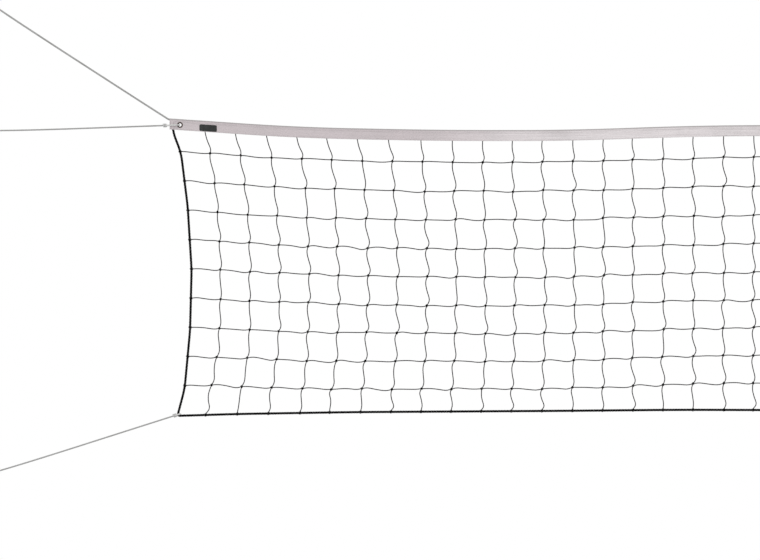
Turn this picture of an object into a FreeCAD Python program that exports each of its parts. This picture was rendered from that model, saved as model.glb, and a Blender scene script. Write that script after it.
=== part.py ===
import FreeCAD, Part
import math
import os

import Sketcher
from FreeCAD import Placement, Rotation, Vector

# A court net hung by its ropes: a fabric headband folded over a head rope, square netting knotted at
# every crossing, a border rope down both sides and along the bottom, and tie ropes at the corners.
# Millimetres. +X runs along the net, -Y is the side that faces the viewer and +Z is up.
# The origin is the hook inside the end loop of the left head rope. Drops are measured downwards from
# the headband's top left corner, and the right end mirrors the left one.

os.makedirs("parts", exist_ok=True)
doc = FreeCAD.newDocument("court_net")

# Driving dimensions: alias, value in mm, degrees or a count, and what it is

SIZES = [
    ("corner_reach", 655, "head rope hook to the headband's end, along the net"),
    ("corner_drop", 417, "head rope hook down to the headband's top edge"),
    ("mesh", 100, "side of one square mesh"),
    ("column_count", 93, "upright twines between the side ropes"),
    ("row_count", 9, "cross twines between the headband and the bottom rope"),
    ("column_inset", 138, "headband's end to the first upright twine"),
    ("first_row", 107, "headband's top edge to the first cross twine"),
    ("row_pitch", 93.5, "drop from one cross twine to the next in the middle of the net"),
    ("row_pitch_gain", 3.9, "how much more that drop is beside the side rope"),
    ("row_pitch_fade", 500, "distance along the net over which the gain dies away"),
    ("row_belly", 5, "how much lower the middle cross twine hangs than even drops would put it"),
    ("belly_start", 300, "how far outside the headband's end that would begin"),
    ("belly_full", 1000, "distance from there to where it is complete"),
    ("twine", 3, "thickness of the netting twine"),
    ("knot_long", 9, "netting knot along its slanted length"),
    ("knot_short", 6.2, "netting knot across"),
    ("knot_deep", 8.4, "netting knot from front to back"),
    ("pull_columns", 15, "upright twines that the slack side rope pulls out of line"),
    ("end_pull", 4.5, "how far the first upright twine stands nearer the end than that pull alone"),
    ("last_row_pull", 8, "how much nearer the end it stands at the last cross twine"),
    ("band_drop", 36.5, "height of the folded headband"),
    ("leaf", 0.9, "thickness of one leaf of the headband"),
    ("leaf_gap", 3.3, "gap between the leaves, where the netting goes in"),
    ("fold_seam", 10.2, "headband's top edge to the seam under the head rope"),
    ("tuck", 8, "how far the netting goes up between the leaves"),
    ("head_rope", 6, "diameter of the head rope"),
    ("rope_play", 0.2, "gap between a rope and the cloth around it"),
    ("border_rope", 8, "diameter of the side and bottom ropes"),
    ("tie_rope", 5, "diameter of the tie ropes at the eyelets and corners"),
    ("pocket_inset", 10, "headband's end to the middle of the side rope's pocket"),
    ("pocket_rise", 28, "how far the side rope goes up into the headband"),
    ("pocket_wall", 1, "cloth around the side rope in its pocket"),
    ("eyelet_inset", 34.5, "headband's end to the middle of the eyelet"),
    ("eyelet_drop", 21.8, "headband's top corner down to the middle of the eyelet"),
    ("eyelet_hole", 11.6, "bore of the eyelet"),
    ("eyelet_flange", 19.4, "outer diameter of the eyelet and of its washer"),
    ("eyelet_wall", 0.7, "wall of the eyelet's barrel"),
    ("eyelet_plate", 0.9, "thickness of the eyelet's flange and of the washer"),
    ("label_inset", 99, "headband's end to the label"),
    ("label_long", 58, "label along the headband"),
    ("label_tall", 22, "label across the headband"),
    ("label_thick", 0.6, "thickness of the label"),
    ("eyelet_pull", 2, "slope of the eyelet rope below level"),
    ("corner_pull", 17.7, "slope of the corner rope below level"),
    ("corner_bend", 8, "bend of the border rope at the bottom corner"),
    ("side_clear", 0.35, "gap between a rope that swings and what it swings past"),
    ("pocket_bend", 25, "bend of the side rope where it leaves its pocket"),
    ("hem_bend", 50, "bend of the head rope where the headband's line turns"),
    ("eyelet_slip", 1.6, "how far the eyelet rope sits off the eyelet's middle, towards its pull"),
    ("eyelet_shoulder", 36, "eyelet's middle to where the two legs begin to close"),
    ("eyelet_knot", 50, "eyelet's middle to the near knot"),
    ("corner_shoulder", 11, "corner rope's bight to where its two legs begin to close"),
    ("corner_knot", 18.5, "corner rope's bight to the near knot"),
    ("hook_round", 12.5, "end loop's rope centre to the hook's centre"),
    ("loop_long", 70, "far knot to the hook's centre"),
    ("near_turns", 2.5, "length of the near knots in rope diameters"),
    ("far_turns", 3, "length of the far knots in rope diameters"),
    ("knot_share", 2.5, "radius of a rope knot as a share of the rope's radius"),
    ("leg_gap", 0.2, "gap between two strands of one rope inside a knot"),
    ("top_lean", 19, "how far the first upright twines lean outwards at the headband"),
    ("top_lean_columns", 6.5, "number of upright twines over which that ends"),
    ("foot_lean", 20, "how far the first upright twine leans outwards from its last knot to its foot"),
    ("foot_lean_columns", 3.2, "number of upright twines over which that fades"),
    ("hitch_long", 7, "hitch of netting twine along a border rope"),
    ("hitch_thick", 1.6, "how far a hitch stands out from the border rope"),
    ("touch_gap", 0.15, "gap left between a twine's end and the rope it is tied to"),
]

sheet = doc.addObject("Spreadsheet::Sheet", "sizes")
for row, (alias, value, note) in enumerate(SIZES, start=1):
    sheet.set("A%d" % row, alias.replace("_", " "))
    sheet.set("B%d" % row, str(value))
    sheet.set("C%d" % row, note)
    sheet.setAlias("B%d" % row, alias)
doc.recompute()


def size(alias):
    """The value of one cell of the sheet."""
    return float(sheet.get(alias))


CORNER = Vector(size("corner_reach"), 0, -size("corner_drop"))
COLUMNS = int(size("column_count"))
ROWS = int(size("row_count"))
BAND_LONG = 2 * size("column_inset") + (COLUMNS - 1) * size("mesh")
MIDDLE = CORNER.x + BAND_LONG / 2
TWINE = size("twine")
HEAD_R = size("head_rope") / 2
BORDER_R = size("border_rope") / 2
TIE_R = size("tie_rope") / 2
BAND_HALF = size("leaf_gap") / 2 + size("leaf")
FOLD_R = HEAD_R + size("rope_play") + size("leaf")

# How the ropes hang, from the headband's end and its top corner: places along the net and heights.
# Each list runs from the left end to the net's middle.

BAND_SAG = [(0, 0), (430, -29), (900, -38.5), (1330, -38.5), (1720, -24), (2600, -17), (3700, -25),
            (BAND_LONG / 2, -22)]
BOTTOM_LINE = [(26, -988), (170, -982), (600, -974.8), (1300, -970.6), (1700, -967), (2600, -970),
               (3700, -966), (BAND_LONG / 2, -968)]
SIDE_LINE = [(10, -11), (10, -42), (38, -115), (60, -292), (73, -502), (68, -702), (50, -896),
             (26, -988)]


def along(line, x):
    """Height of a hanging line at a place along the net; past the middle the line is mirrored."""
    x = min(x, BAND_LONG - x)
    for (x0, z0), (x1, z1) in zip(line, line[1:]):
        if x <= x1:
            return z0 + (z1 - z0) * (x - x0) / (x1 - x0)
    return line[-1][1]


def side_rope_x(z):
    """How far the left side rope stands from the headband's end at a height."""
    for (x0, z0), (x1, z1) in zip(SIDE_LINE, SIDE_LINE[1:]):
        if z >= z1:
            return x0 + (x1 - x0) * (z - z0) / (z1 - z0)
    return SIDE_LINE[-1][0]


def row_height(row, x):
    """Height of a cross twine: its pitch is a little longer near the side ropes, and the middle ones sag."""
    end = min(x, BAND_LONG - x)
    pitch = size("row_pitch") + size("row_pitch_gain") * math.exp(-end / size("row_pitch_fade"))
    share = min(1, (end + size("belly_start")) / size("belly_full"))
    belly = size("row_belly") * math.sin(math.pi * row / (ROWS - 1)) * share
    return along(BAND_SAG, x) - size("first_row") - pitch * row - belly


def column_place(column, z, last=False):
    """Place of an upright twine: near the ends it leans in as far as the slack side rope does."""
    from_end = min(column, COLUMNS - 1 - column)
    fade = max(0, 1 - (from_end + 1) / size("pull_columns"))
    lean = (side_rope_x(z) - side_rope_x(row_height(0, 0)) - size("end_pull")) * fade
    if last:
        lean -= size("last_row_pull") * math.sqrt(fade)
    x = size("column_inset") + from_end * size("mesh") + lean
    return x if column == from_end else BAND_LONG - x


def mirrored(shape):
    """The same shape at the other end of the net."""
    return shape.mirror(Vector(MIDDLE, 0, 0), Vector(1, 0, 0))


def in_net(x, z, y=0):
    """A point given from the headband's end and top corner, in the part's own frame."""
    return Vector(CORNER.x + x, y, CORNER.z + z)


def piece(label, shape):
    """A sub-part whose shape is worked out here from the sheet."""
    feature = doc.addObject("Part::Feature", label)
    feature.Shape = shape
    feature.Label = label
    return feature


# Ropes: straight runs joined by arcs that touch them

def rope_wire(points, bends=None):
    """The rope's centre line; bends gives the radius at a point where it isn't the largest that fits."""
    bends = bends or {}
    edges = []
    radii = []
    start = points[0]
    for index in range(1, len(points) - 1):
        before, point, after = points[index - 1], points[index], points[index + 1]
        back = (before - point).normalize()
        ahead = (after - point).normalize()
        half_turn = (math.pi - back.getAngle(ahead)) / 2
        shorter = min((before - point).Length, (after - point).Length)
        radius = bends.get(index, 0.45 * shorter / math.tan(half_turn))
        tangent = radius * math.tan(half_turn)
        first = point + back * tangent
        last = point + ahead * tangent
        inward = (back + ahead).normalize()
        crown = point + inward * (radius / math.cos(half_turn) - radius)
        edges.append(Part.LineSegment(start, first).toShape())
        edges.append(Part.Arc(first, crown, last).toShape())
        radii.append(radius)
        start = last
    edges.append(Part.LineSegment(start, points[-1]).toShape())
    return Part.Wire(edges), radii


def rope_tube(label, points, radius, bends=None):
    """A rope as a round tube along its centre line, with its volume checked."""
    wire, radii = rope_wire(points, bends)
    circle = Part.Circle(points[0], points[1] - points[0], radius).toShape()
    tube = wire.makePipeShell([Part.Wire(circle)], True, False)
    expected = math.pi * radius ** 2 * wire.Length
    if abs(tube.Volume - expected) > 0.01 * expected:
        raise ValueError("%s: volume %.0f, expected %.0f" % (label, tube.Volume, expected))
    print("%s: length %.0f mm, radii %s" % (label, wire.Length, [round(r, 1) for r in radii]))
    return tube


def knot_barrel(centre, direction, turns, rope_radius):
    """A knot in a rope: its turns side by side, as a ribbed barrel round the rope's line."""
    length = turns * 2 * rope_radius
    radius = size("knot_share") * rope_radius
    outline = [(-0.5, 0.5), (-0.34, 0.97), (-0.17, 0.84), (0, 1), (0.17, 0.84), (0.34, 0.97), (0.5, 0.5)]
    corners = [Vector(0, 0, -0.5 * length)]
    corners += [Vector(share * radius, 0, place * length) for place, share in outline]
    corners += [Vector(0, 0, 0.5 * length), Vector(0, 0, -0.5 * length)]
    barrel = Part.Face(Part.makePolygon(corners)).revolve(Vector(0, 0, 0), Vector(0, 0, 1), 360)
    barrel.Placement = Placement(centre, Rotation(Vector(0, 0, 1), direction))
    return barrel


# Headband: one section, folded over the head rope, carried along the sag of its top edge

def sketch_on(body, name, plane):
    """A sketch on one of a body's own origin planes."""
    sketch = body.newObject("Sketcher::SketchObject", name)
    origin_plane = [item for item in body.Origin.OriginFeatures if item.Role == plane][0]
    sketch.AttachmentSupport = [(origin_plane, "")]
    sketch.MapMode = "FlatFace"
    return sketch


def bind(sketch, constraint, expression):
    """Add a constraint and tie its size to the sheet."""
    index = sketch.addConstraint(constraint)
    sketch.setExpression("Constraints[%d]" % index, expression)


def bound_outline(sketch, corners, crowns=None):
    """A closed outline. Each corner is its place and the two expressions that hold it there.

    crowns gives, for an edge that is a half circle, the point at its top.
    """
    crowns = crowns or {}
    ends = []
    for index, corner in enumerate(corners):
        start = Vector(corner[0], corner[1], 0)
        following = corners[(index + 1) % len(corners)]
        end = Vector(following[0], following[1], 0)
        if index in crowns:
            edge = Part.Arc(start, Vector(*crowns[index], 0), end)
            sketch.addGeometry(edge, False)
            forward = sketch.getPoint(index, 1).distanceToPoint(start) < 1e-6
            ends.append((1, 2) if forward else (2, 1))
        else:
            sketch.addGeometry(Part.LineSegment(start, end), False)
            ends.append((1, 2))
    for index, corner in enumerate(corners):
        following = (index + 1) % len(corners)
        sketch.addConstraint(
            Sketcher.Constraint("Coincident", index, ends[index][1], following, ends[following][0]))
        start = ends[index][0]
        bind(sketch, Sketcher.Constraint("DistanceX", -1, 1, index, start, corner[0]), corner[2])
        bind(sketch, Sketcher.Constraint("DistanceY", -1, 1, index, start, corner[1]), corner[3])
    for index in crowns:
        bind(sketch, Sketcher.Constraint("DistanceY", -1, 1, index, 3, corners[index][1]),
             corners[index][3])


HEM = -size("band_drop")
SEAM = -size("fold_seam")
CHANNEL_R = HEAD_R + size("rope_play")
GAP_HALF = size("leaf_gap") / 2
POCKET_R = BORDER_R + size("rope_play")
POCKET_OUTER = POCKET_R + size("pocket_wall")
EYELET_R = size("eyelet_hole") / 2 + size("eyelet_wall")
LEAF_FACE = "(sizes.leaf_gap / 2 + sizes.leaf)"
FOLD_SIDE = "(sizes.head_rope / 2 + sizes.rope_play + sizes.leaf)"
CHANNEL_SIDE = "(sizes.head_rope / 2 + sizes.rope_play)"

band = doc.addObject("PartDesign::Body", "headband")
band.Label = "headband"
band.Placement = Placement(CORNER, Rotation())

section = sketch_on(band, "band_section", "YZ_Plane")
bound_outline(section, [
    (-BAND_HALF, HEM, "-" + LEAF_FACE, "-sizes.band_drop"),
    (-BAND_HALF, SEAM, "-" + LEAF_FACE, "-sizes.fold_seam"),
    (-FOLD_R, -FOLD_R, "-" + FOLD_SIDE, "-" + FOLD_SIDE),
    (FOLD_R, -FOLD_R, FOLD_SIDE, "-" + FOLD_SIDE),
    (BAND_HALF, SEAM, LEAF_FACE, "-sizes.fold_seam"),
    (BAND_HALF, HEM, LEAF_FACE, "-sizes.band_drop"),
    (GAP_HALF, HEM, "sizes.leaf_gap / 2", "-sizes.band_drop"),
    (GAP_HALF, SEAM, "sizes.leaf_gap / 2", "-sizes.fold_seam"),
    (CHANNEL_R, -FOLD_R, CHANNEL_SIDE, "-" + FOLD_SIDE),
    (-CHANNEL_R, -FOLD_R, "-" + CHANNEL_SIDE, "-" + FOLD_SIDE),
    (-GAP_HALF, SEAM, "-sizes.leaf_gap / 2", "-sizes.fold_seam"),
    (-GAP_HALF, HEM, "-sizes.leaf_gap / 2", "-sizes.band_drop"),
], {2: (0, 0), 8: (0, -size("leaf"))})

spine = sketch_on(band, "band_sag", "XZ_Plane")
WHOLE_SAG = BAND_SAG + [(BAND_LONG - x, z) for x, z in BAND_SAG[-2::-1]]
for (x0, z0), (x1, z1) in zip(WHOLE_SAG, WHOLE_SAG[1:]):
    spine.addGeometry(Part.LineSegment(Vector(x0, z0, 0), Vector(x1, z1, 0)), False)
for index in range(len(WHOLE_SAG) - 2):
    spine.addConstraint(Sketcher.Constraint("Coincident", index, 2, index + 1, 1))
doc.recompute()

tape = band.newObject("PartDesign::AdditivePipe", "folded_tape")
tape.Profile = section
tape.Spine = spine
tape.Mode = "Fixed"
tape.Transition = "Right corner"
doc.recompute()

BAND_LONG_EXPRESSION = "(2 * sizes.column_inset + (sizes.column_count - 1) * sizes.mesh)"
POCKET_FOOT = along(BAND_SAG, size("pocket_inset")) + HEM


def bound_circle(sketch, place, radius, expressions):
    """A circle whose centre and radius are tied to the sheet."""
    index = sketch.addGeometry(Part.Circle(Vector(*place, 0), Vector(0, 0, 1), radius), False)
    bind(sketch, Sketcher.Constraint("DistanceX", -1, 1, index, 3, place[0]), expressions[0])
    bind(sketch, Sketcher.Constraint("DistanceY", -1, 1, index, 3, place[1]), expressions[1])
    bind(sketch, Sketcher.Constraint("Radius", index, radius), expressions[2])


def pocket_circles(name, radius, radius_expression, foot):
    """A circle at each end of the headband, round the side rope, at the height of the foot."""
    sketch = sketch_on(band, name, "XY_Plane")
    sketch.AttachmentOffset = Placement(Vector(0, 0, foot), Rotation())
    inset = size("pocket_inset")
    bound_circle(sketch, (inset, 0), radius, ("sizes.pocket_inset", "0", radius_expression))
    bound_circle(sketch, (BAND_LONG - inset, 0), radius,
                 (BAND_LONG_EXPRESSION + " - sizes.pocket_inset", "0", radius_expression))
    return sketch


def check_growth(body, before, grows):
    """Stop if the last feature of a body added or cut nothing."""
    doc.recompute()
    change = body.Shape.Volume - before
    if (change > 1) != grows or abs(change) < 1:
        raise ValueError("%s: volume changed by %.1f" % (body.Tip.Label, change))
    return body.Shape.Volume


volume = tape.Shape.Volume
sleeve = band.newObject("PartDesign::Pad", "rope_sleeves")
sleeve.Profile = pocket_circles(
    "sleeve_circles", POCKET_OUTER, "sizes.border_rope / 2 + sizes.rope_play + sizes.pocket_wall",
    POCKET_FOOT)
sleeve.setExpression("Length", "sizes.pocket_rise")
volume = check_growth(band, volume, True)

rope_pocket = band.newObject("PartDesign::Pocket", "rope_pockets")
rope_pocket.Profile = pocket_circles(
    "pocket_circles", POCKET_R, "sizes.border_rope / 2 + sizes.rope_play",
    POCKET_FOOT - size("pocket_wall"))
rope_pocket.Reversed = True
rope_pocket.setExpression("Length", "sizes.pocket_rise - sizes.pocket_wall + sizes.rope_play")
volume = check_growth(band, volume, False)

eyelet_holes = sketch_on(band, "eyelet_hole_circles", "XZ_Plane")
HOLE_EXPRESSION = "sizes.eyelet_hole / 2 + sizes.eyelet_wall + sizes.rope_play"
bound_circle(eyelet_holes, (size("eyelet_inset"), -size("eyelet_drop")), EYELET_R + size("rope_play"),
             ("sizes.eyelet_inset", "-sizes.eyelet_drop", HOLE_EXPRESSION))
bound_circle(eyelet_holes, (BAND_LONG - size("eyelet_inset"), -size("eyelet_drop")),
             EYELET_R + size("rope_play"),
             (BAND_LONG_EXPRESSION + " - sizes.eyelet_inset", "-sizes.eyelet_drop", HOLE_EXPRESSION))
punch = band.newObject("PartDesign::Pocket", "eyelet_holes")
punch.Profile = eyelet_holes
punch.Midplane = True
punch.setExpression("Length", "4 * " + FOLD_SIDE)
check_growth(band, volume, False)


# Eyelets: a flanged barrel through both leaves, its end rolled over a washer on the back

def turned_part(label, place, corners):
    """A part of revolution about Y, from a closed outline of radius and depth."""
    body = doc.addObject("PartDesign::Body", label)
    body.Label = label
    body.Placement = Placement(place, Rotation())
    outline = sketch_on(body, label + "_outline", "XY_Plane")
    bound_outline(outline, corners)
    turned = body.newObject("PartDesign::Revolution", label + "_turned")
    turned.Profile = outline
    turned.ReferenceAxis = (outline, ["V_Axis"])
    turned.Angle = 360
    return body


BORE = size("eyelet_hole") / 2
PLATE = size("eyelet_plate")
FLANGE_R = size("eyelet_flange") / 2
BACK = BAND_HALF + PLATE
BORE_EXPRESSION = "sizes.eyelet_hole / 2"
BARREL_EXPRESSION = "(sizes.eyelet_hole / 2 + sizes.eyelet_wall)"
BACK_EXPRESSION = "(%s + sizes.eyelet_plate)" % LEAF_FACE
eyelet_places = [("left", size("eyelet_inset")), ("right", BAND_LONG - size("eyelet_inset"))]
for side, place in eyelet_places:
    centre = in_net(place, -size("eyelet_drop"))
    turned_part("eyelet_" + side, centre, [
        (BORE, BACK + PLATE / 3, BORE_EXPRESSION, BACK_EXPRESSION + " + sizes.eyelet_plate / 3"),
        (BORE, -BAND_HALF - PLATE / 3, BORE_EXPRESSION, "-%s - sizes.eyelet_plate / 3" % LEAF_FACE),
        (EYELET_R, -BACK, BARREL_EXPRESSION, "-" + BACK_EXPRESSION),
        (FLANGE_R - PLATE, -BACK, "sizes.eyelet_flange / 2 - sizes.eyelet_plate", "-" + BACK_EXPRESSION),
        (FLANGE_R, -BAND_HALF - PLATE / 3, "sizes.eyelet_flange / 2",
         "-%s - sizes.eyelet_plate / 3" % LEAF_FACE),
        (FLANGE_R - PLATE / 2, -BAND_HALF, "sizes.eyelet_flange / 2 - sizes.eyelet_plate / 2",
         "-" + LEAF_FACE),
        (EYELET_R, -BAND_HALF, BARREL_EXPRESSION, "-" + LEAF_FACE),
        (EYELET_R, BACK, BARREL_EXPRESSION, BACK_EXPRESSION),
        (EYELET_R + PLATE, BACK, BARREL_EXPRESSION + " + sizes.eyelet_plate", BACK_EXPRESSION),
    ])
    turned_part("eyelet_washer_" + side, centre, [
        (EYELET_R, BACK, BARREL_EXPRESSION, BACK_EXPRESSION),
        (EYELET_R, BAND_HALF, BARREL_EXPRESSION, LEAF_FACE),
        (FLANGE_R - PLATE / 2, BAND_HALF, "sizes.eyelet_flange / 2 - sizes.eyelet_plate / 2",
         LEAF_FACE),
        (FLANGE_R, BAND_HALF + PLATE / 3, "sizes.eyelet_flange / 2",
         LEAF_FACE + " + sizes.eyelet_plate / 3"),
        (FLANGE_R, BACK - PLATE / 3, "sizes.eyelet_flange / 2",
         BACK_EXPRESSION + " - sizes.eyelet_plate / 3"),
        (FLANGE_R - PLATE / 2, BACK, "sizes.eyelet_flange / 2 - sizes.eyelet_plate / 2",
         BACK_EXPRESSION),
    ])


# Label: a plain patch sewn on the flat of the headband beside the eyelet

patch = doc.addObject("PartDesign::Body", "label_patch")
patch.Label = "label_patch"
LABEL_LONG = size("label_long") / 2
LABEL_TALL = size("label_tall") / 2
patch_outline = sketch_on(patch, "label_outline", "XZ_Plane")
bound_outline(patch_outline, [
    (-LABEL_LONG, -LABEL_TALL, "-sizes.label_long / 2", "-sizes.label_tall / 2"),
    (LABEL_LONG, -LABEL_TALL, "sizes.label_long / 2", "-sizes.label_tall / 2"),
    (LABEL_LONG, LABEL_TALL, "sizes.label_long / 2", "sizes.label_tall / 2"),
    (-LABEL_LONG, LABEL_TALL, "-sizes.label_long / 2", "sizes.label_tall / 2"),
])
patch_pad = patch.newObject("PartDesign::Pad", "label_cloth")
patch_pad.Profile = patch_outline
patch_pad.setExpression("Length", "sizes.label_thick")
label_x = size("label_inset") + LABEL_LONG
label_slope = math.degrees(math.atan2(-BAND_SAG[1][1], BAND_SAG[1][0]))
patch.Placement = Placement(
    in_net(label_x, along(BAND_SAG, label_x) + (HEM + SEAM) / 2, -BAND_HALF),
    Rotation(Vector(0, 1, 0), label_slope))
doc.recompute()


# Border ropes: each side rope goes up into its pocket and the bottom rope turns up to meet it

side_points = [in_net(x, z) for x, z in SIDE_LINE]
corner_foot = side_points[-1]
up_side = (side_points[-2] - corner_foot).normalize()
along_bottom = (in_net(*BOTTOM_LINE[1]) - corner_foot).normalize()
corner_half_turn = (math.pi - up_side.getAngle(along_bottom)) / 2
corner_tangent = size("corner_bend") * math.tan(corner_half_turn)
MEETING = corner_foot + up_side * (corner_tangent + 1)
side_points[-1] = MEETING
POCKET_BEND = {1: size("pocket_bend")}
side_tube = rope_tube("side_rope_left", side_points, BORDER_R, POCKET_BEND)
side_wire = rope_wire(side_points, POCKET_BEND)[0]
piece("side_rope_left", side_tube)
piece("side_rope_right", mirrored(side_tube))

bottom_points = [MEETING] + [in_net(x, z) for x, z in BOTTOM_LINE]
bottom_points += [Vector(2 * MIDDLE - point.x, 0, point.z) for point in bottom_points[-2::-1]]
CORNER_BENDS = {1: size("corner_bend"), len(bottom_points) - 2: size("corner_bend")}
piece("bottom_rope", rope_tube("bottom_rope", bottom_points, BORDER_R, CORNER_BENDS))

# Head rope: inside the fold from end to end, and a tail at each end

hem_points = [in_net(x, z - FOLD_R) for x, z in WHOLE_SAG]
HEM_BENDS = {index: size("hem_bend") for index in range(1, len(hem_points) - 1)}
piece("head_rope", rope_tube("head_rope", hem_points, HEAD_R, HEM_BENDS))


def end_loop(start, hook, radius):
    """Far knot, end loop round a hook and back into the knot, in the plane of the net."""
    pull = (hook - start).normalize()
    across = Vector(0, 1, 0).cross(pull)
    reach = size("hook_round")
    knot = hook - pull * size("loop_long")
    return knot, [knot,
                  hook + pull * reach + across * reach,
                  hook + pull * reach - across * reach,
                  knot + pull * (2 * radius) - across * (2 * radius + size("leg_gap"))]


hem_slope = (hem_points[1] - hem_points[0]).normalize()
mouth = [hem_points[0], hem_points[0] - hem_slope * (1.5 * HEAD_R)]
head_knot, head_loop = end_loop(mouth[1], Vector(0, 0, 0), HEAD_R)
head_tail = rope_tube("head_rope_tail", mouth + head_loop, HEAD_R)
piece("head_rope_tail_left", head_tail)
piece("head_rope_tail_right", mirrored(head_tail))
head_barrel = knot_barrel(head_knot, head_loop[1] - head_knot, size("far_turns"), HEAD_R)
piece("head_rope_knots", Part.makeCompound([head_barrel, mirrored(head_barrel)]))

# Tie ropes: a bight through the eyelet or round the border rope's corner, a near knot, a long pull,
# and a far knot with its end loop. The bight's two legs pass in front of and behind the cloth.


def tie_rope(kind, pivot, half_gap, slip):
    """A tie rope and its two knots, left and right. The pivot is the axis it swings about."""
    label = kind + "_rope"
    slope = math.radians(size(kind + "_pull"))
    shoulder = size(kind + "_shoulder")
    near = size(kind + "_knot")
    pull = Vector(-math.cos(slope), 0, -math.sin(slope))
    front = Vector(0, -1, 0)
    side = TIE_R + size("leg_gap") / 2
    hook = pivot + pull * (pivot.x / -pull.x)
    far_knot, far_loop = end_loop(pivot, hook, TIE_R)
    points = [
        pivot + pull * (near - 0.5) - front * side,
        pivot + pull * shoulder - front * half_gap,
        pivot + pull * slip - front * half_gap,
        pivot + pull * slip + front * half_gap,
        pivot + pull * shoulder + front * half_gap,
        pivot + pull * near + front * side,
        pivot + pull * (near + 4 * TIE_R),
    ]
    tube = rope_tube(label, points + far_loop, TIE_R)
    near_barrel = knot_barrel(pivot + pull * near, pull, size("near_turns"), TIE_R)
    far_barrel = knot_barrel(far_knot, pull, size("far_turns"), TIE_R)
    knots = Part.makeCompound([near_barrel, far_barrel])
    for end, turn in (("left", lambda shape: shape), ("right", mirrored)):
        piece("%s_%s" % (label, end), turn(tube))
        piece("%s_knots_%s" % (label, end), turn(knots))
    print("%s: pivot %s, hook %s" % (label, pivot, hook))


eyelet_gap = POCKET_OUTER + size("side_clear") + TIE_R
tie_rope("eyelet", in_net(size("eyelet_inset"), -size("eyelet_drop")), eyelet_gap,
         size("eyelet_slip"))
corner_crown = corner_foot + (up_side + along_bottom).normalize() * (
    size("corner_bend") / math.cos(corner_half_turn) - size("corner_bend"))
corner_gap = BORDER_R + size("side_clear") + TIE_R
corner_pivot = corner_crown + (up_side + along_bottom).normalize() * corner_gap
tie_rope("corner", corner_pivot, corner_gap, 0)

# Netting: upright twines in the middle plane, cross twines in front of them, a knot at each crossing


def twine_strip(points, y_front):
    """A square twine along a line of places and heights, as one flat strip of that thickness."""
    upright = abs(points[-1][1] - points[0][1]) > abs(points[-1][0] - points[0][0])
    shift = (TWINE / 2, 0) if upright else (0, TWINE / 2)
    near = [in_net(x - shift[0], z - shift[1], y_front) for x, z in points]
    far = [in_net(x + shift[0], z + shift[1], y_front) for x, z in points]
    return Part.Face(Part.makePolygon(near + far[::-1] + near[:1])).extrude(Vector(0, TWINE, 0))


def point_at(points, key, value):
    """The point of a dense line of points where one coordinate has a value, and the line's direction."""
    for first, second in zip(points, points[1:]):
        low, high = getattr(first, key), getattr(second, key)
        if min(low, high) <= value <= max(low, high) and low != high:
            step = second - first
            return first + step * ((value - low) / (high - low)), step.normalize()
    raise ValueError("no point at %s = %.1f" % (key, value))


side_track = side_wire.discretize(Distance=4)
bottom_track = rope_wire(bottom_points, CORNER_BENDS)[0].discretize(Distance=25)
ROW_STATIONS = [40] + [x for x, z in BAND_SAG[1:]]
row_lines = [[(x, row_height(row, x)) for x in ROW_STATIONS] for row in range(ROWS)]
hitch_seat = BORDER_R + size("touch_gap")
row_ends = []
rows = []
for line in row_lines:
    height = line[0][1]
    rope_point, rope_run = point_at(side_track, "z", CORNER.z + height)
    row_ends.append((rope_point, rope_run))
    left_end = rope_point.x - CORNER.x + hitch_seat
    inner_line = [point for point in line if point[0] > left_end + TWINE]
    half_line = [(left_end, height)] + inner_line
    whole_line = half_line + [(BAND_LONG - x, z) for x, z in half_line[-2::-1]]
    rows.append(twine_strip(whole_line, -1.5 * TWINE))
piece("netting_rows", Part.makeCompound(rows))

COLUMN_STATIONS = [0, 2, 5, 7, 8]
columns = []
knot_places = []
hitch_places = []
for column in range(COLUMNS):
    from_end = min(column, COLUMNS - 1 - column)
    turn_in = 1 if column == from_end else -1
    first_x = size("column_inset") + from_end * size("mesh")
    if turn_in < 0:
        first_x = BAND_LONG - first_x
    stations = COLUMN_STATIONS if from_end < size("pull_columns") - 1 else [0]
    line = []
    for row in stations:
        height = along(row_lines[row], first_x)
        line.append((column_place(column, height, row == ROWS - 1), height))
    lean = size("top_lean") / (1 + math.exp(2 * (from_end - size("top_lean_columns"))))
    top_x = line[0][0] - turn_in * lean
    top = (top_x, along(BAND_SAG, top_x) + HEM + size("tuck"))
    foot_x = line[-1][0] - turn_in * size("foot_lean") * math.exp(-from_end / size("foot_lean_columns"))
    foot_point = point_at(bottom_track, "x", CORNER.x + foot_x)[0]
    foot = (foot_x, foot_point.z - CORNER.z + hitch_seat)
    line = [top] + line + [foot]
    columns.append(twine_strip(line, -TWINE / 2))
    hitch_places.append(foot_point)
    heights = [(-z, x) for x, z in line]
    for row_line in row_lines:
        height = along(row_line, first_x)
        for (z0, x0), (z1, x1) in zip(heights, heights[1:]):
            if z0 <= -height <= z1:
                x = x0 + (x1 - x0) * (-height - z0) / (z1 - z0)
        knot_places.append(in_net(x, along(row_line, x), -TWINE / 2))
piece("netting_columns", Part.makeCompound(columns))


def lozenge(long, short, deep):
    """A slanted eight-sided knot with its points on its three half sizes."""
    slant = Vector(1, 0, 1).normalize() * (long / 2)
    cross = Vector(-1, 0, 1).normalize() * (short / 2)
    depth = Vector(0, deep / 2, 0)
    faces = []
    for a in (slant, -slant):
        for b in (cross, -cross):
            for c in (depth, -depth):
                faces.append(Part.Face(Part.makePolygon([a, b, c, a])))
    return Part.Solid(Part.makeShell(faces))


netting_knot = lozenge(size("knot_long"), size("knot_short"), size("knot_deep"))
if netting_knot.Volume < 0:
    netting_knot.reverse()
piece("netting_knots", Part.makeCompound([netting_knot.translated(place) for place in knot_places]))

# Hitches: the netting is tied to the border ropes at every cross twine and every upright twine


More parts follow.
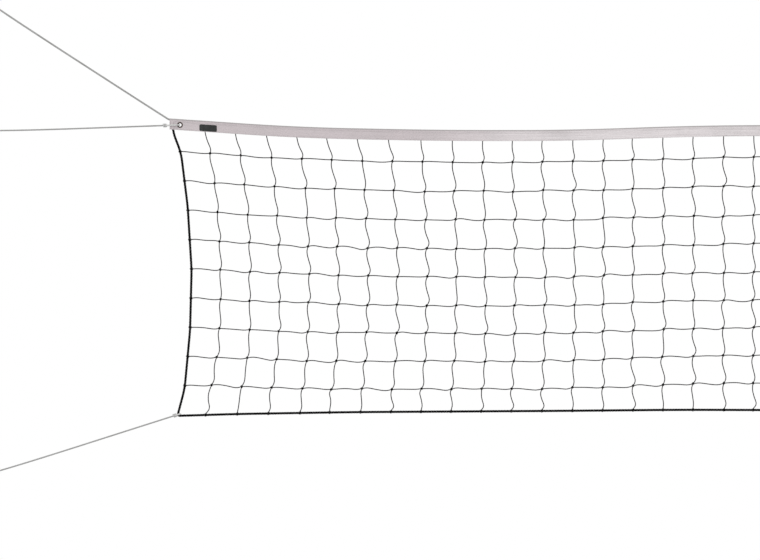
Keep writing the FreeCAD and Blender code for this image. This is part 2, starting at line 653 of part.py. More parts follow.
def hitch_collar(place, run, corner_count):
    """A hitch drawn tight round a border rope, as a short flat-sided collar."""
    half_angle = math.pi / corner_count
    reach = (BORDER_R + size("hitch_thick")) / math.cos(half_angle)
    corners = []
    for index in range(corner_count):
        angle = (2 * index + 1) * half_angle
        corners.append(Vector(reach * math.cos(angle), reach * math.sin(angle), -size("hitch_long") / 2))
    collar = Part.Face(Part.makePolygon(corners + corners[:1])).extrude(Vector(0, 0, size("hitch_long")))
    collar.Placement = Placement(place, Rotation(Vector(0, 0, 1), run))
    return collar


side_hitches = Part.makeCompound([hitch_collar(place, run, 6) for place, run in row_ends])
piece("row_hitches_left", side_hitches)
piece("row_hitches_right", mirrored(side_hitches))
piece("bottom_hitches", Part.makeCompound(
    [hitch_collar(place, Vector(1, 0, 0), 4) for place in hitch_places]))

doc.recompute()
nodes = [item for item in doc.Objects
         if item.TypeId == "PartDesign::Body" or item.TypeId == "Part::Feature"]
for item in doc.Objects:
    if "Invalid" in item.State or "Error" in item.State:
        raise ValueError("%s failed: %s" % (item.Label, item.State))
for node in nodes:
    if node.Shape.isNull() or not node.Shape.isValid():
        raise ValueError("%s has no valid shape" % node.Label)
for node in nodes:
    node.Shape.exportStep("parts/%s.step" % node.Label)
print("%d sub-parts" % len(nodes))
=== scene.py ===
import logging
import math
from dataclasses import dataclass, replace
from enum import Enum
from functools import cache

import bpy
import numpy as np
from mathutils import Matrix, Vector


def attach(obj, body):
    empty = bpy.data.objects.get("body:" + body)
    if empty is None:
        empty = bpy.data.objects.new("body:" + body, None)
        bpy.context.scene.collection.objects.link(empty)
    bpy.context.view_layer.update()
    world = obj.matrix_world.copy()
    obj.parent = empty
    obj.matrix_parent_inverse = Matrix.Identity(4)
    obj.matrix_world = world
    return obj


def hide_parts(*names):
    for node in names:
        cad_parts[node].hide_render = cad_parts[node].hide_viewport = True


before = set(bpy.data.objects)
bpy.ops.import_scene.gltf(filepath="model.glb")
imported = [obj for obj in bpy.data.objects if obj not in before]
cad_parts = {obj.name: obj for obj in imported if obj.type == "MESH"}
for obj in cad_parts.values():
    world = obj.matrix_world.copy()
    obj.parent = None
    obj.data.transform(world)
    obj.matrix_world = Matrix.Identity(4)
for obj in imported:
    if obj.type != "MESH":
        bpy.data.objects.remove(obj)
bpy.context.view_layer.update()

Array = np.ndarray
Socket = bpy.types.NodeSocket
Colour = tuple[float, float, float]
Points = tuple[tuple[float, ...], ...]

LOG = logging.getLogger("court_net")
MIDDLE_X = 5.393
TURN = 2 * math.pi
MILLIMETRE = 0.001
UP = np.array([0.0, 0.0, 1.0])
BACKWARD = np.array([0.0, 1.0, 0.0])


class End(Enum):
    """The net's two ends, as the viewer sees them."""

    LEFT = "left"
    RIGHT = "right"

    def place(self, points: Array) -> Array:
        """Points of the left end at this end: on the right, x becomes 2 * MIDDLE_X - x.

        Args:
            points: places in the row frame, with x, y and z on the last axis.

        Returns:
            The places.
        """
        placed = np.array(points, dtype=float)
        if self is End.RIGHT:
            placed[..., 0] = 2 * MIDDLE_X - placed[..., 0]
        return placed


class Lay(Enum):
    """How a rope is made."""

    LAID = "three strands twisted together"
    BRAIDED = "many thin strands plaited over each other"


def smooth_step(low: float, high: float, value: Array) -> Array:
    """Rise from 0 at low to 1 at high, as 3t^2 - 2t^3."""
    share = np.clip((value - low) / (high - low), 0.0, 1.0)
    return share * share * (3 - 2 * share)


def unit(vectors: Array) -> Array:
    """Vectors divided by their lengths, along the last axis."""
    return vectors / np.maximum(np.linalg.norm(vectors, axis=-1, keepdims=True), 1e-12)


def run_length(path: Array) -> Array:
    """Length along each path, shaped (paths, stations, 3), up to each of its stations."""
    steps = np.linalg.norm(np.diff(path, axis=1), axis=-1)
    return np.concatenate([np.zeros((len(path), 1)), np.cumsum(steps, axis=1)], axis=1)


def even_stations(path: Array, step: float) -> Array:
    """One path again, with stations an even length apart on its straight steps.

    Args:
        path: places, shaped (stations, 3).
        step: distance wanted between stations.

    Returns:
        The new places.
    """
    along = run_length(path[None])[0]
    wanted = np.linspace(0.0, along[-1], max(int(round(along[-1] / step)), 2) + 1)
    return np.stack([np.interp(wanted, along, path[:, axis]) for axis in range(3)], axis=-1)


def linked(name: str, data: object) -> bpy.types.Object:
    """Make an object from its data and put it into the scene's collection.

    Args:
        name: the object's name.
        data: a mesh, curve, lamp or camera.

    Returns:
        The object.
    """
    made = bpy.data.objects.new(name, data)
    bpy.context.scene.collection.objects.link(made)
    return made


def evaluated_mesh(piece: bpy.types.Object) -> bpy.types.Mesh:
    """A new mesh of an object as it is with its modifiers, or of a curve as it runs."""
    return bpy.data.meshes.new_from_object(piece.evaluated_get(bpy.context.evaluated_depsgraph_get()))


@dataclass
class Surface:
    """A mesh as arrays: points, all faces' corners in a row, corners in each face, UV at each corner."""

    points: Array
    corners: Array
    sides: Array
    uv: Array

    @property
    def starts(self) -> Array:
        """Where each face's corners begin."""
        return np.concatenate([[0], np.cumsum(self.sides)[:-1]])

    @staticmethod
    def joined(parts: list["Surface"]) -> "Surface":
        """One surface from several, their corner numbers moved on.

        Args:
            parts: the surfaces.

        Returns:
            All of them as one.
        """
        shifts = np.cumsum([0] + [len(part.points) for part in parts[:-1]])
        return Surface(
            np.concatenate([part.points for part in parts]),
            np.concatenate([part.corners + shift for part, shift in zip(parts, shifts)]),
            np.concatenate([part.sides for part in parts]),
            np.concatenate([part.uv for part in parts]))

    def volume(self) -> float:
        """Signed volume: each face as a fan from its first corner, a sixth of the triple product.

        Returns:
            Cubic metres, positive where the faces point outwards.
        """
        total = 0.0
        for count in np.unique(self.sides):
            first = self.starts[self.sides == count]
            for step in range(1, int(count) - 1):
                a, b, c = (self.points[self.corners[first + k]] for k in (0, step, step + 1))
                total += float(np.einsum("ij,ij->i", a, np.cross(b, c)).sum()) / 6
        return total

    def facing_out(self) -> "Surface":
        """The same closed surface, each face's corners in reverse if its volume is negative.

        Returns:
            The surface.
        """
        if self.volume() >= 0:
            return self
        starts, sides = (np.repeat(part, self.sides) for part in (self.starts, self.sides))
        order = 2 * starts + sides - 1 - np.arange(len(self.corners))
        return replace(self, corners=self.corners[order], uv=self.uv[order])

    def to_object(self, name: str, smooth: bool = True) -> bpy.types.Object:
        """Make the Blender object, at the origin and unturned.

        Args:
            name: the piece's name.
            smooth: whether its faces are shaded smooth.

        Returns:
            The object.
        """
        mesh = bpy.data.meshes.new(name)
        mesh.vertices.add(len(self.points))
        mesh.vertices.foreach_set("co", self.points.astype(np.float32).ravel())
        mesh.loops.add(len(self.corners))
        mesh.loops.foreach_set("vertex_index", self.corners.astype(np.int32))
        mesh.polygons.add(len(self.sides))
        mesh.polygons.foreach_set("loop_start", self.starts.astype(np.int32))
        mesh.polygons.foreach_set("loop_total", self.sides.astype(np.int32))
        mesh.polygons.foreach_set("use_smooth", np.full(len(self.sides), smooth))
        layer = mesh.uv_layers.new(name="surface")
        layer.data.foreach_set("uv", self.uv.astype(np.float32).ravel())
        mesh.update(calc_edges=True)
        mesh.validate()
        return linked(name, mesh)


def spread(parts: list[Array], shape: tuple[int, ...]) -> Array:
    """Arrays spread to one shape and stacked on a last axis."""
    return np.stack([np.broadcast_to(part, shape) for part in parts], axis=-1)


def corner_uv(u: list[Array], v: list[Array], shape: tuple[int, ...]) -> Array:
    """UV of faces' corners in a row, from the U and V of each corner, spread over the faces."""
    return np.stack([spread(u, shape), spread(v, shape)], axis=-1).reshape(-1, 2)


def grid_surface(
    points: Array, along: Array, closed_along: bool = False, around: Array | None = None,
    lid: Array | None = None,
) -> Surface:
    """Closed skins over grids of rings: four-cornered faces, and lids over open ends.

    The face between stations i, i+1 and ring places j, j+1 has the corners (i, j), (i, j+1),
    (i+1, j+1) and (i+1, j). Each ring closes on itself.

    Args:
        points: places, shaped (skins, stations, ring places, 3).
        along: the V of each station, shaped (skins, stations).
        closed_along: whether the last ring joins the first one, as on a ring-shaped piece.
        around: the U of each ring place and of the first one again; evenly 0 to 1 if left out.
        lid: ring places of the corners of each face over the first end; a fan if left out.

    Returns:
        The surface.
    """
    skins, stations, ring = points.shape[:3]
    number = np.arange(skins * stations * ring).reshape(skins, stations, ring)
    ahead = np.roll(number, -1, axis=2)
    edge = np.linspace(0.0, 1.0, ring + 1) if around is None else around
    kept = stations if closed_along else stations - 1
    beyond = np.concatenate([along[:, 1:], along[:, -1:] + along[:, 1:2] - along[:, :1]], axis=1)
    v_low, v_high = along[:, :kept, None], beyond[:, :kept, None]
    quads = np.stack([number, ahead, np.roll(ahead, -1, axis=1), np.roll(number, -1, axis=1)], axis=-1)
    places, faces = [points.reshape(-1, 3)], [quads[:, :kept]]
    uv = [corner_uv([edge[:-1], edge[1:], edge[1:], edge[:-1]], [v_low, v_low, v_high, v_high],
                    (skins, kept, ring))]
    for rank, way in () if closed_along else ((0, -1), (-1, 1)):
        if lid is not None:
            order = lid[:, ::-way]
            faces.append(number[0, rank][order])
            uv.append(corner_uv([edge[:-1][order]], [along[0, rank]], order.shape))
            continue
        middle = sum(map(len, places)) + np.arange(skins)[:, None]
        places.append(points[:, rank].mean(axis=1))
        faces.append(spread([middle, *[number[:, rank], ahead[:, rank]][::way]], (skins, ring)))
        u = [(edge[:-1] + edge[1:]) / 2, *[edge[:-1], edge[1:]][::way]]
        uv.append(corner_uv(u, [along[:, rank, None]] * 3, (skins, ring)))
    return Surface(
        np.concatenate(places), np.concatenate([face.ravel() for face in faces]),
        np.concatenate([np.full(face[..., 0].size, face.shape[-1]) for face in faces]),
        np.concatenate(uv)).facing_out()


def tube(path: Array, radius: Array, sides: int, normal: Array | None = None) -> Surface:
    """Tubes along paths: place + radius (cos a * normal + sin a * (tangent x normal)).

    Args:
        path: places, shaped (tubes, stations, 3).
        radius: metres, anything that spreads over (tubes, stations, sides).
        sides: ring places.
        normal: a direction at each station; square to path and net's depth if left out.

    Returns:
        The closed tubes, with U once round and V in metres along.
    """
    tangent = unit(np.gradient(path, axis=1))
    if normal is None:
        normal = unit(np.cross(BACKWARD, tangent))
    sideways = np.cross(tangent, normal)
    angle = TURN * np.arange(sides)[:, None] / sides
    outward = np.cos(angle) * normal[:, :, None] + np.sin(angle) * sideways[:, :, None]
    reach = np.broadcast_to(radius, path.shape[:2] + (sides,))
    return grid_surface(path[:, :, None] + reach[..., None] * outward, run_length(path))


def lay_radius(lay: Lay, thickness: float, pitch: float, along: Array, sides: int) -> Array:
    """The outline of a rope: how far its surface stands from its middle.

    A laid rope has three ridges, |cos 1.5(a - turn)|, that turn once in a pitch. A braid has the
    higher of two families of four ridges, |cos 2(a - turn)| and |cos 2(a + turn)|.

    Args:
        lay: laid or braided.
        thickness: the rope's diameter.
        pitch: length of one full turn of a strand.
        along: length along the rope at each station, shaped (ropes, stations).
        sides: ring places.

    Returns:
        Metres, shaped (ropes, stations, sides).
    """
    angle = TURN * np.arange(sides) / sides
    turn = TURN * along[..., None] / pitch
    if lay is Lay.LAID:
        return thickness / 2 * (0.88 + 0.14 * np.abs(np.cos(1.5 * (angle - turn))))
    ridges = np.maximum(np.abs(np.cos(2 * (angle - turn))), np.abs(np.cos(2 * (angle + turn))))
    return thickness / 2 * (0.93 + 0.07 * ridges)


def coils(
    centre: Array, axis: Array, reach: float, thickness: float, turns: float, pitch: float,
    steps: int, sides: int, start: Array | float = 0.0,
) -> Surface:
    """Coils of twine or rope: a helix about each axis, as a tube with narrowed ends.

    Place = centre + axis * pitch * turns * (t - 1/2) + reach (cos b * p + sin b * q), with
    b = start + 2 pi turns t, and p, q square to the axis.

    Args:
        centre: middles of the coils, shaped (coils, 3).
        axis: their axes, shaped (coils, 3).
        reach: radius of the helix.
        thickness: diameter of the twine.
        turns: number of turns.
        pitch: metres along the axis in one turn.
        steps: stations along each helix.
        sides: ring places of the tube.
        start: angle that each coil begins at.

    Returns:
        The closed coils.
    """
    axis = unit(axis)
    first = unit(np.cross(axis, BACKWARD + 0.01 * UP))
    second = np.cross(axis, first)
    share = np.linspace(0.0, 1.0, steps)
    angle = (np.reshape(start, (-1, 1)) + TURN * turns * share)[..., None]
    outward = np.cos(angle) * first[:, None] + np.sin(angle) * second[:, None]
    path = centre[:, None] + axis[:, None] * (pitch * turns * (share - 0.5))[:, None] + reach * outward
    ends = np.where((share == 0) | (share == 1), 0.6, 1.0)
    return tube(path, (thickness / 2 * ends)[None, :, None], sides, outward)


def stitches(centre: Array, run: Array, face: Array, long: float, thick: float) -> Surface:
    """Single stitches of thread: three-sided spindles that lie on the cloth.

    Args:
        centre: middles, shaped (stitches, 3).
        run: directions, anything that spreads over the middles.
        face: the cloth's outward directions, likewise.
        long: length of one stitch.
        thick: thickness of the thread.

    Returns:
        All of the stitches.
    """
    run, face = np.broadcast_to(run, centre.shape), np.broadcast_to(face, centre.shape)
    path = centre[:, None] + unit(run)[:, None] * (long * np.array([-0.5, 0.0, 0.5]))[:, None]
    radius = np.array([0.45, 1.0, 0.45])[None, :, None] * thick / 2
    return tube(path, radius, 3, np.broadcast_to(unit(face)[:, None], path.shape))


@dataclass(frozen=True)
class NetLayout:
    """Where the net's lines hang, in metres from the headband's top left corner."""

    corner_x: float = 0.655
    corner_z: float = -0.417
    mesh: float = 0.1
    columns: int = 93
    rows: int = 9
    column_inset: float = 0.138
    first_row: float = 0.107
    row_pitch: float = 0.0935
    row_gain: float = 0.0039
    row_fade: float = 0.5
    pull_columns: float = 15
    top_lean: float = 0.019
    top_lean_columns: float = 6.5
    foot_lean: float = 0.020
    foot_lean_columns: float = 3.2
    end_pull: float = 0.0045
    last_row_pull: float = 0.008
    belly: float = 0.005
    band_drop: float = 0.0365
    tuck: float = 0.008
    slack: float = 0.0013
    seed: int = 41
    sag: Points = (
        (-0.43, 0.029), (0, 0), (0.43, -0.029), (0.9, -0.0385), (1.33, -0.0385), (1.72, -0.024),
        (2.6, -0.017), (3.7, -0.025), (4.738, -0.022))
    foot_line: Points = (
        (0.026, -0.988), (0.17, -0.982), (0.6, -0.9748), (1.3, -0.9706), (1.7, -0.967),
        (2.6, -0.970), (3.7, -0.966), (4.738, -0.968))
    side_line: Points = (
        (0.011, 0.010), (0.042, 0.010), (0.115, 0.038), (0.292, 0.060), (0.502, 0.073),
        (0.702, 0.068), (0.896, 0.050), (0.988, 0.026), (1.08, 0.002))

    @property
    def length(self) -> float:
        """The headband's length."""
        return 2 * self.column_inset + (self.columns - 1) * self.mesh

    def place(self, x: Array, y: Array, z: Array) -> Array:
        """Places in the row frame, from x, y to the back and z up from the headband's corner."""
        x, y, z = np.broadcast_arrays(x, y, z)
        return np.stack([x + self.corner_x, y, z + self.corner_z], axis=-1)

    def averaged(self, line: Points, value: Array, window: float) -> Array:
        """A smooth line through a few points: straight runs between them, averaged over a window.

        Args:
            line: the points.
            value: where it is wanted.
            window: width of the window.

        Returns:
            The line's height or place there.
        """
        steps = np.linspace(-window / 2, window / 2, 15)
        keys, heights = np.array(line).T
        return np.interp(np.asarray(value)[..., None] + steps, keys, heights).mean(axis=-1)

    def end_distance(self, x: Array) -> Array:
        """Distance from the headband's nearer end."""
        return np.minimum(x, self.length - x)

    def top(self, x: Array) -> Array:
        """Height of the headband's top edge, the same from either end."""
        return self.averaged(self.sag, self.end_distance(x), 0.34)

    def foot(self, x: Array) -> Array:
        """Height of the bottom rope's middle, the same from either end."""
        return self.averaged(self.foot_line, self.end_distance(x), 0.2)

    def side(self, z: Array) -> Array:
        """How far a side rope stands in from the headband's end at a height."""
        return self.averaged(self.side_line, -np.asarray(z), 0.05)

    def row(self, row: Array, x: Array) -> Array:
        """Height of a cross twine: pitch by pitch below the headband, the pitch longer at the ends.

        The middle ones hang lower by belly * sin(pi row / 8), less so beside the side ropes.

        Args:
            row: number of the twine from the top, from 0.
            x: place along the net.

        Returns:
            Its height.
        """
        end = self.end_distance(x)
        pitch = self.row_pitch + self.row_gain * np.exp(-end / self.row_fade)
        belly = self.belly * np.sin(math.pi * row / (self.rows - 1)) * smooth_step(-0.3, 0.7, end)
        return self.top(x) - self.first_row - pitch * row - belly

    def from_end(self) -> Array:
        """How many upright twines lie between each one and the nearer end."""
        column = np.arange(self.columns)
        return np.minimum(column, self.columns - 1 - column)

    def inward(self) -> Array:
        """Which way is inwards at each upright twine: 1 in the left half and -1 in the right half."""
        return np.where(self.from_end() == np.arange(self.columns), 1.0, -1.0)

    def knots(self) -> Array:
        """Places of the netting's knots: where two twines cross, moved by a small seeded slip.

        Returns:
            x and z, shaped (2, columns, rows).
        """
        straight = (self.column_inset + self.mesh * np.arange(self.columns))[:, None]
        z = self.row(np.arange(self.rows)[None, :], straight)
        fade = np.clip(1 - (self.from_end() + 1) / self.pull_columns, 0, 1)[:, None]
        lean = (self.side(z) - self.side(self.row(0, np.zeros(1))) - self.end_pull) * fade
        lean[:, -1] -= self.last_row_pull * np.sqrt(fade[:, 0])
        x = straight + self.inward()[:, None] * lean
        return np.stack([x, z]) + np.random.default_rng(self.seed).normal(0, self.slack, (2,) + x.shape)


@dataclass(frozen=True)
class PhotoCamera:
    """A camera square on to the net, as far off as a long lens needs."""

    centre_x: float = 1.3533
    centre_z: float = -0.9533
    width: float = 2.5224
    distance: float = 9.0
    sensor: float = 36.0
    sight: float = 200.0

    def build(self) -> None:
        """Make the camera and set it as the scene's own."""
        data = bpy.data.cameras.new("net_camera")
        data.type = "PERSP"
        data.sensor_width = self.sensor
        data.lens = self.sensor * self.distance / self.width
        data.clip_end = self.sight
        camera = linked("net_camera", data)
        camera.location = (self.centre_x, -self.distance, self.centre_z)
        camera.rotation_euler = (math.pi / 2, 0, 0)
        bpy.context.scene.camera = camera


class Graph:
    """A node tree that is being filled, for a material, a group or the sky."""

    def __init__(self, tree: bpy.types.NodeTree) -> None:
        """Take an empty tree."""
        self.tree = tree

    def feed(self, node: bpy.types.Node, inputs: dict) -> bpy.types.Node:
        """Give a node its inputs.

        Args:
            node: the node.
            inputs: socket names or numbers, each with a value or with a socket to link from.

        Returns:
            The node.
        """
        for name, value in inputs.items():
            if isinstance(value, Socket):
                self.tree.links.new(value, node.inputs[name])
            else:
                node.inputs[name].default_value = value
        return node

    def node(self, kind: str, inputs: dict | None = None, **settings: object) -> bpy.types.Node:
        """Add a node.

        Args:
            kind: the node's type.
            inputs: its inputs, as for feed.
            settings: its own settings.

        Returns:
            The node.
        """
        made = self.tree.nodes.new(kind)
        for name, value in settings.items():
            setattr(made, name, value)
        return self.feed(made, inputs or {})

    def math(self, operation: str, *values: object) -> Socket:
        """The output of a Math node fed with numbers or sockets, in order."""
        return self.node("ShaderNodeMath", dict(enumerate(values)), operation=operation).outputs[0]

    def parts(self, place: Socket) -> list[Socket]:
        """X, Y and Z of a vector."""
        return list(self.node("ShaderNodeSeparateXYZ", {0: place}).outputs)

    def blend(self, share: object, first: object, second: object, most: float = 1.0) -> Socket:
        """Mix two colours.

        Args:
            share: how much of the second, a mask.
            first: colour or socket.
            second: colour or socket.
            most: how much of the second where the mask is full.

        Returns:
            The mixed colour.
        """
        if most < 1.0:
            share = self.math("MULTIPLY", share, most)
        first, second = (part if isinstance(part, Socket) else (*part, 1) for part in (first, second))
        return self.node("ShaderNodeMix", {0: share, 6: first, 7: second}, data_type="RGBA").outputs[2]

    def rise(self, value: object, low: float, high: float) -> Socket:
        """A smooth step from 0 at low to 1 at high."""
        inputs = {"Value": value, "From Min": low, "From Max": high}
        return self.node("ShaderNodeMapRange", inputs, interpolation_type="SMOOTHSTEP").outputs[0]

    def noise(self, place: Socket, scale: object, **settings: float) -> Socket:
        """Soft noise of a size, from 0 to 1, with the node's other inputs by name."""
        return self.node("ShaderNodeTexNoise", {"Vector": place, "Scale": scale, **settings}).outputs[0]

    def seen_straight(self) -> Socket:
        """Tell the camera's own rays and those off or through a shiny surface from the rest.

        Returns:
            1 for them and 0 for the rest.
        """
        is_ray = self.node("ShaderNodeLightPath").outputs
        shiny = self.math("MAXIMUM", is_ray["Is Glossy Ray"], is_ray["Is Transmission Ray"])
        return self.math("MAXIMUM", is_ray["Is Camera Ray"], shiny)


def group_graph(name: str, takes: str, gives: str) -> tuple[Graph, list[Socket], bpy.types.Node]:
    """Start a shader node group.

    Args:
        name: its name.
        takes: its inputs, the first one a vector and the others numbers.
        gives: its outputs, all numbers.

    Returns:
        The graph, its input sockets and its output node.
    """
    tree = bpy.data.node_groups.new(name, "ShaderNodeTree")
    for step, title in enumerate(takes.split()):
        kind = "NodeSocketFloat" if step else "NodeSocketVector"
        tree.interface.new_socket(title, in_out="INPUT", socket_type=kind)
    for title in gives.split():
        tree.interface.new_socket(title, in_out="OUTPUT", socket_type="NodeSocketFloat")
    graph = Graph(tree)
    entry = graph.node("NodeGroupInput")
    return graph, list(entry.outputs)[:-1], graph.node("NodeGroupOutput")


@cache
def strand_group() -> bpy.types.NodeTree:
    """Strands wound round a cord, n of them at a pitch p, and in a braid as many the other way.

    With a = pi n(u - v/p) and b = pi n(u + v/p), a strand's height is |cos a| or |cos b|: in a
    braid the first lies on top where cos a cos b > 0 and the second elsewhere.

    Returns:
        The group.
    """
    graph, (surface, strands, pitch, crossing), out = group_graph(
        "wound_strands", "Surface Strands Pitch Crossing", "Height Furrow")
    around, along, _ = graph.parts(surface)
    turn = graph.math("DIVIDE", along, pitch)
    count = graph.math("MULTIPLY", strands, math.pi)
    one_way, other_way = (graph.math("MULTIPLY", count, graph.math(sign, around, turn))
                          for sign in ("SUBTRACT", "ADD"))
    first, second = graph.math("COSINE", one_way), graph.math("COSINE", other_way)
    on_top = graph.math("MAXIMUM", graph.math("SUBTRACT", 1.0, crossing), graph.math(
        "GREATER_THAN", graph.math("MULTIPLY", first, second), 0.0))
    below = graph.math("ABSOLUTE", second)
    height = graph.math("ADD", below, graph.math(
        "MULTIPLY", on_top, graph.math("SUBTRACT", graph.math("ABSOLUTE", first), below)))
    fibre = graph.node("ShaderNodeCombineXYZ", {
        0: graph.math("MULTIPLY", one_way, 3.0), 1: graph.math("MULTIPLY", along, 90.0)})
    hair = graph.noise(fibre.outputs[0], 2.0, Detail=2.0)
    # The furrow output is painted shade: a mask that is full in the low ground between strands.
    graph.feed(out, {
        "Height": graph.math("ADD", height, graph.math("MULTIPLY", hair, 0.18)),
        "Furrow": graph.rise(height, 0.5, 0.05)})
    return graph.tree


@cache
def weave_group() -> bpy.types.NodeTree:
    """A plain weave: sin(U) sin(V) at the thread's pitch, and streaks of uneven thread along V.

    Returns:
        The group.
    """
    graph, (surface, thread), out = group_graph("plain_weave", "Surface Thread", "Height Streak")
    across, along, _ = graph.parts(surface)
    step = graph.math("DIVIDE", TURN, thread)
    over, under = (graph.math("SINE", graph.math("MULTIPLY", part, step)) for part in (across, along))
    drawn = graph.node("ShaderNodeCombineXYZ", {
        0: graph.math("MULTIPLY", across, 420.0), 1: graph.math("MULTIPLY", along, 5.0)})
    graph.feed(out, {
        "Height": graph.math("MULTIPLY", over, under),
        "Streak": graph.rise(graph.noise(drawn.outputs[0], 1.0, Detail=3.0), 0.3, 0.7)})
    return graph.tree


@cache
def soil_group() -> bpy.types.NodeTree:
    """Dust and handling: soft noise in patches of a given size, as a mask.

    Returns:
        The group.
    """
    graph, (place, patches, amount), out = group_graph("soil_and_dust", "Place Patches Amount", "Mask")
    cloud = graph.noise(place, patches, Detail=4.0, Roughness=0.6)
    graph.feed(out, {"Mask": graph.math("MULTIPLY", graph.rise(cloud, 0.42, 0.68), amount)})
    return graph.tree


class MaterialGraph(Graph):
    """A material that is being made, with its shader wired to its output."""

    def __init__(self, name: str) -> None:
        """Start the material.

        Args:
            name: its name.
        """
        self.material = bpy.data.materials.new(name)
        self.material.use_nodes = True
        self.material.node_tree.nodes.clear()
        super().__init__(self.material.node_tree)
        self.shader = self.node("ShaderNodeBsdfPrincipled")
        self.output = self.node("ShaderNodeOutputMaterial", {"Surface": self.shader.outputs[0]})
        places = self.node("ShaderNodeTexCoord").outputs
        self.uv, self.place = places["UV"], places["Object"]

    def soil(self, patches: float, amount: float) -> Socket:
        """The soil's mask, in so many patches to a metre."""
        inputs = {"Place": self.place, "Patches": patches, "Amount": amount}
        return self.node("ShaderNodeGroup", inputs, node_tree=soil_group()).outputs[0]

    def weave(self, surface: Socket, thread: float) -> list[Socket]:
        """The weave's height and its streaks, for a thread's pitch."""
        inputs = {"Surface": surface, "Thread": thread}
        return list(self.node("ShaderNodeGroup", inputs, node_tree=weave_group()).outputs)

    def finished(
        self, colour: Socket, roughness: object, height: Socket | None = None, strength: float = 0.6,
        distance: float = 0.0, **shine: float,
    ) -> bpy.types.Material:
        """Feed the shader.

        Args:
            colour: the base colour.
            roughness: number or socket.
            height: a relief from 0 to 1.
            strength: the relief's strength.
            distance: the relief's depth in metres.
            shine: the shader's other inputs, with _ for each space.

        Returns:
            The material.
        """
        self.feed(self.shader, {"Base Color": colour, "Roughness": roughness})
        self.feed(self.shader, {name.replace("_", " "): value for name, value in shine.items()})
        if height is not None:
            bump = self.node("ShaderNodeBump", {
                "Height": height, "Strength": strength, "Distance": distance})
            self.feed(self.shader, {"Normal": bump.outputs[0]})
        return self.material


@dataclass(frozen=True)
class CordFinish:
    """Rope or twine, its strands drawn on the piece's own UV: once round, and metres along."""

    name: str
    colour: Colour
    # Painted shade: the colour of the low ground between strands.
    furrow: Colour
    soiled: Colour
    strands: float
    pitch: float
    crossing: float
    relief: float
    roughness: float
    soil: float
    gloss: float = 0.25
    # Painted light and shade of one cord: a paler lit tone over a first length of the rope, fading into
    # its colour, the shaded tone.
    lit_tone: Colour = (0.78, 0.775, 0.765)
    lit_tone_length: float = 0.0
    lit_tone_fade: float = 0.008
    patches: float = 14.0

    @cache
    def material(self) -> bpy.types.Material:
        """Strand colour with a paler painted lit tone over a first length, painted shade in the furrows
        between strands, soil and strand relief.

        Returns:
            The material.
        """
        made = MaterialGraph(self.name)
        height, furrow = made.node("ShaderNodeGroup", {
            "Surface": made.uv, "Strands": self.strands, "Pitch": self.pitch, "Crossing": self.crossing,
        }, node_tree=strand_group()).outputs
        along, full = made.parts(made.uv)[1], self.lit_tone_length
        # Painted light and shade: the paler lit tone up to the lit length, then the rope's darker colour.
        painted_shade = made.rise(along, full - self.lit_tone_fade, full)
        base = made.blend(painted_shade, self.lit_tone, self.colour)
        worn = made.blend(made.soil(self.patches, self.soil), base, self.soiled)
        # Painted shade: the furrow colour darkens the low ground between strands.
        return made.finished(made.blend(furrow, worn, self.furrow), self.roughness, height,
                             distance=self.relief, Specular_IOR_Level=self.gloss)


@dataclass(frozen=True)
class TapeFinish:
    """The headband's woven tape, on its own UV: metres across the fold, and metres along."""

    name: str = "headband_tape"
    colour: Colour = (0.612, 0.549, 0.566)
    paler: Colour = (0.80, 0.758, 0.768)
    streak: Colour = (0.52, 0.47, 0.48)
    # Painted shade over the upper curve of the fold.
    edge: Colour = (0.37, 0.35, 0.35)
    seam: Colour = (0.46, 0.435, 0.44)
    seam_drops: tuple[float, float] = (0.0125, 0.0362)
    thread: float = 0.0011
    stains_apart: float = 2.6

    def material(self) -> bpy.types.Material:
        """Slow change of tone along, fine streaks, painted shade over the fold's upper curve, darker
        seams, and weave relief.

        Returns:
            The material.
        """
        made = MaterialGraph(self.name)
        across, along, _ = made.parts(made.uv)
        height, streak = made.weave(made.uv, self.thread)
        drop = made.math("ABSOLUTE", across)
        wave = made.math("COSINE", made.math(
            "MULTIPLY", made.math("SUBTRACT", along, 0.25), TURN / self.stains_apart))
        base = made.blend(made.rise(wave, 0.3, -0.95), self.colour, self.paler)
        streaked = made.blend(streak, base, self.streak, 0.55)
        soiled = made.blend(made.soil(9.0, 0.5), streaked, self.seam, 0.5)
        seams = [made.rise(made.math("ABSOLUTE", made.math("SUBTRACT", drop, at)), 0.0009, 0.0002)
                 for at in self.seam_drops]
        lined = made.blend(made.math("MAXIMUM", *seams), soiled, self.seam, 0.45)
        # Painted shade: darker over the upper curve of the fold.
        return made.finished(made.blend(made.rise(drop, 0.0052, 0.0030), lined, self.edge, 0.9), 0.85,
                             height, 0.5, 0.0003, Specular_IOR_Level=0.2, Sheen_Weight=0.15)


@dataclass(frozen=True)
class PatchFinish:
    """The label's plain dark cloth."""

    name: str = "label_cloth"
    colour: Colour = (0.010, 0.013, 0.012)
    paler: Colour = (0.03, 0.036, 0.035)
    thread: float = 0.0008

    def material(self) -> bpy.types.Material:
        """Dark weave with paler wear.

        Returns:
            The material.
        """
        made = MaterialGraph(self.name)
        x, _, z = made.parts(made.place)
        flat = made.node("ShaderNodeCombineXYZ", {0: z, 1: x}).outputs[0]
        height = made.weave(flat, self.thread)[0]
        worn = made.blend(made.soil(60.0, 0.6), self.colour, self.paler)
        return made.finished(worn, 0.75, height, 0.6, 0.0002)


@dataclass(frozen=True)
class BronzeFinish:
    """The eyelets' dark bronzed metal, rubbed paler where the rope bears."""

    name: str = "eyelet_bronze"
    colour: Colour = (0.035, 0.021, 0.017)
    rubbed: Colour = (0.12, 0.08, 0.055)

    @cache
    def material(self) -> bpy.types.Material:
        """Dark metal with paler rubbed patches.

        Returns:
            The material.
        """
        made = MaterialGraph(self.name)
        mask = made.soil(220.0, 0.7)
        roughness = made.math("ADD", made.math("MULTIPLY", mask, -0.12), 0.46)
        return made.finished(made.blend(mask, self.colour, self.rubbed), roughness, Metallic=0.8)
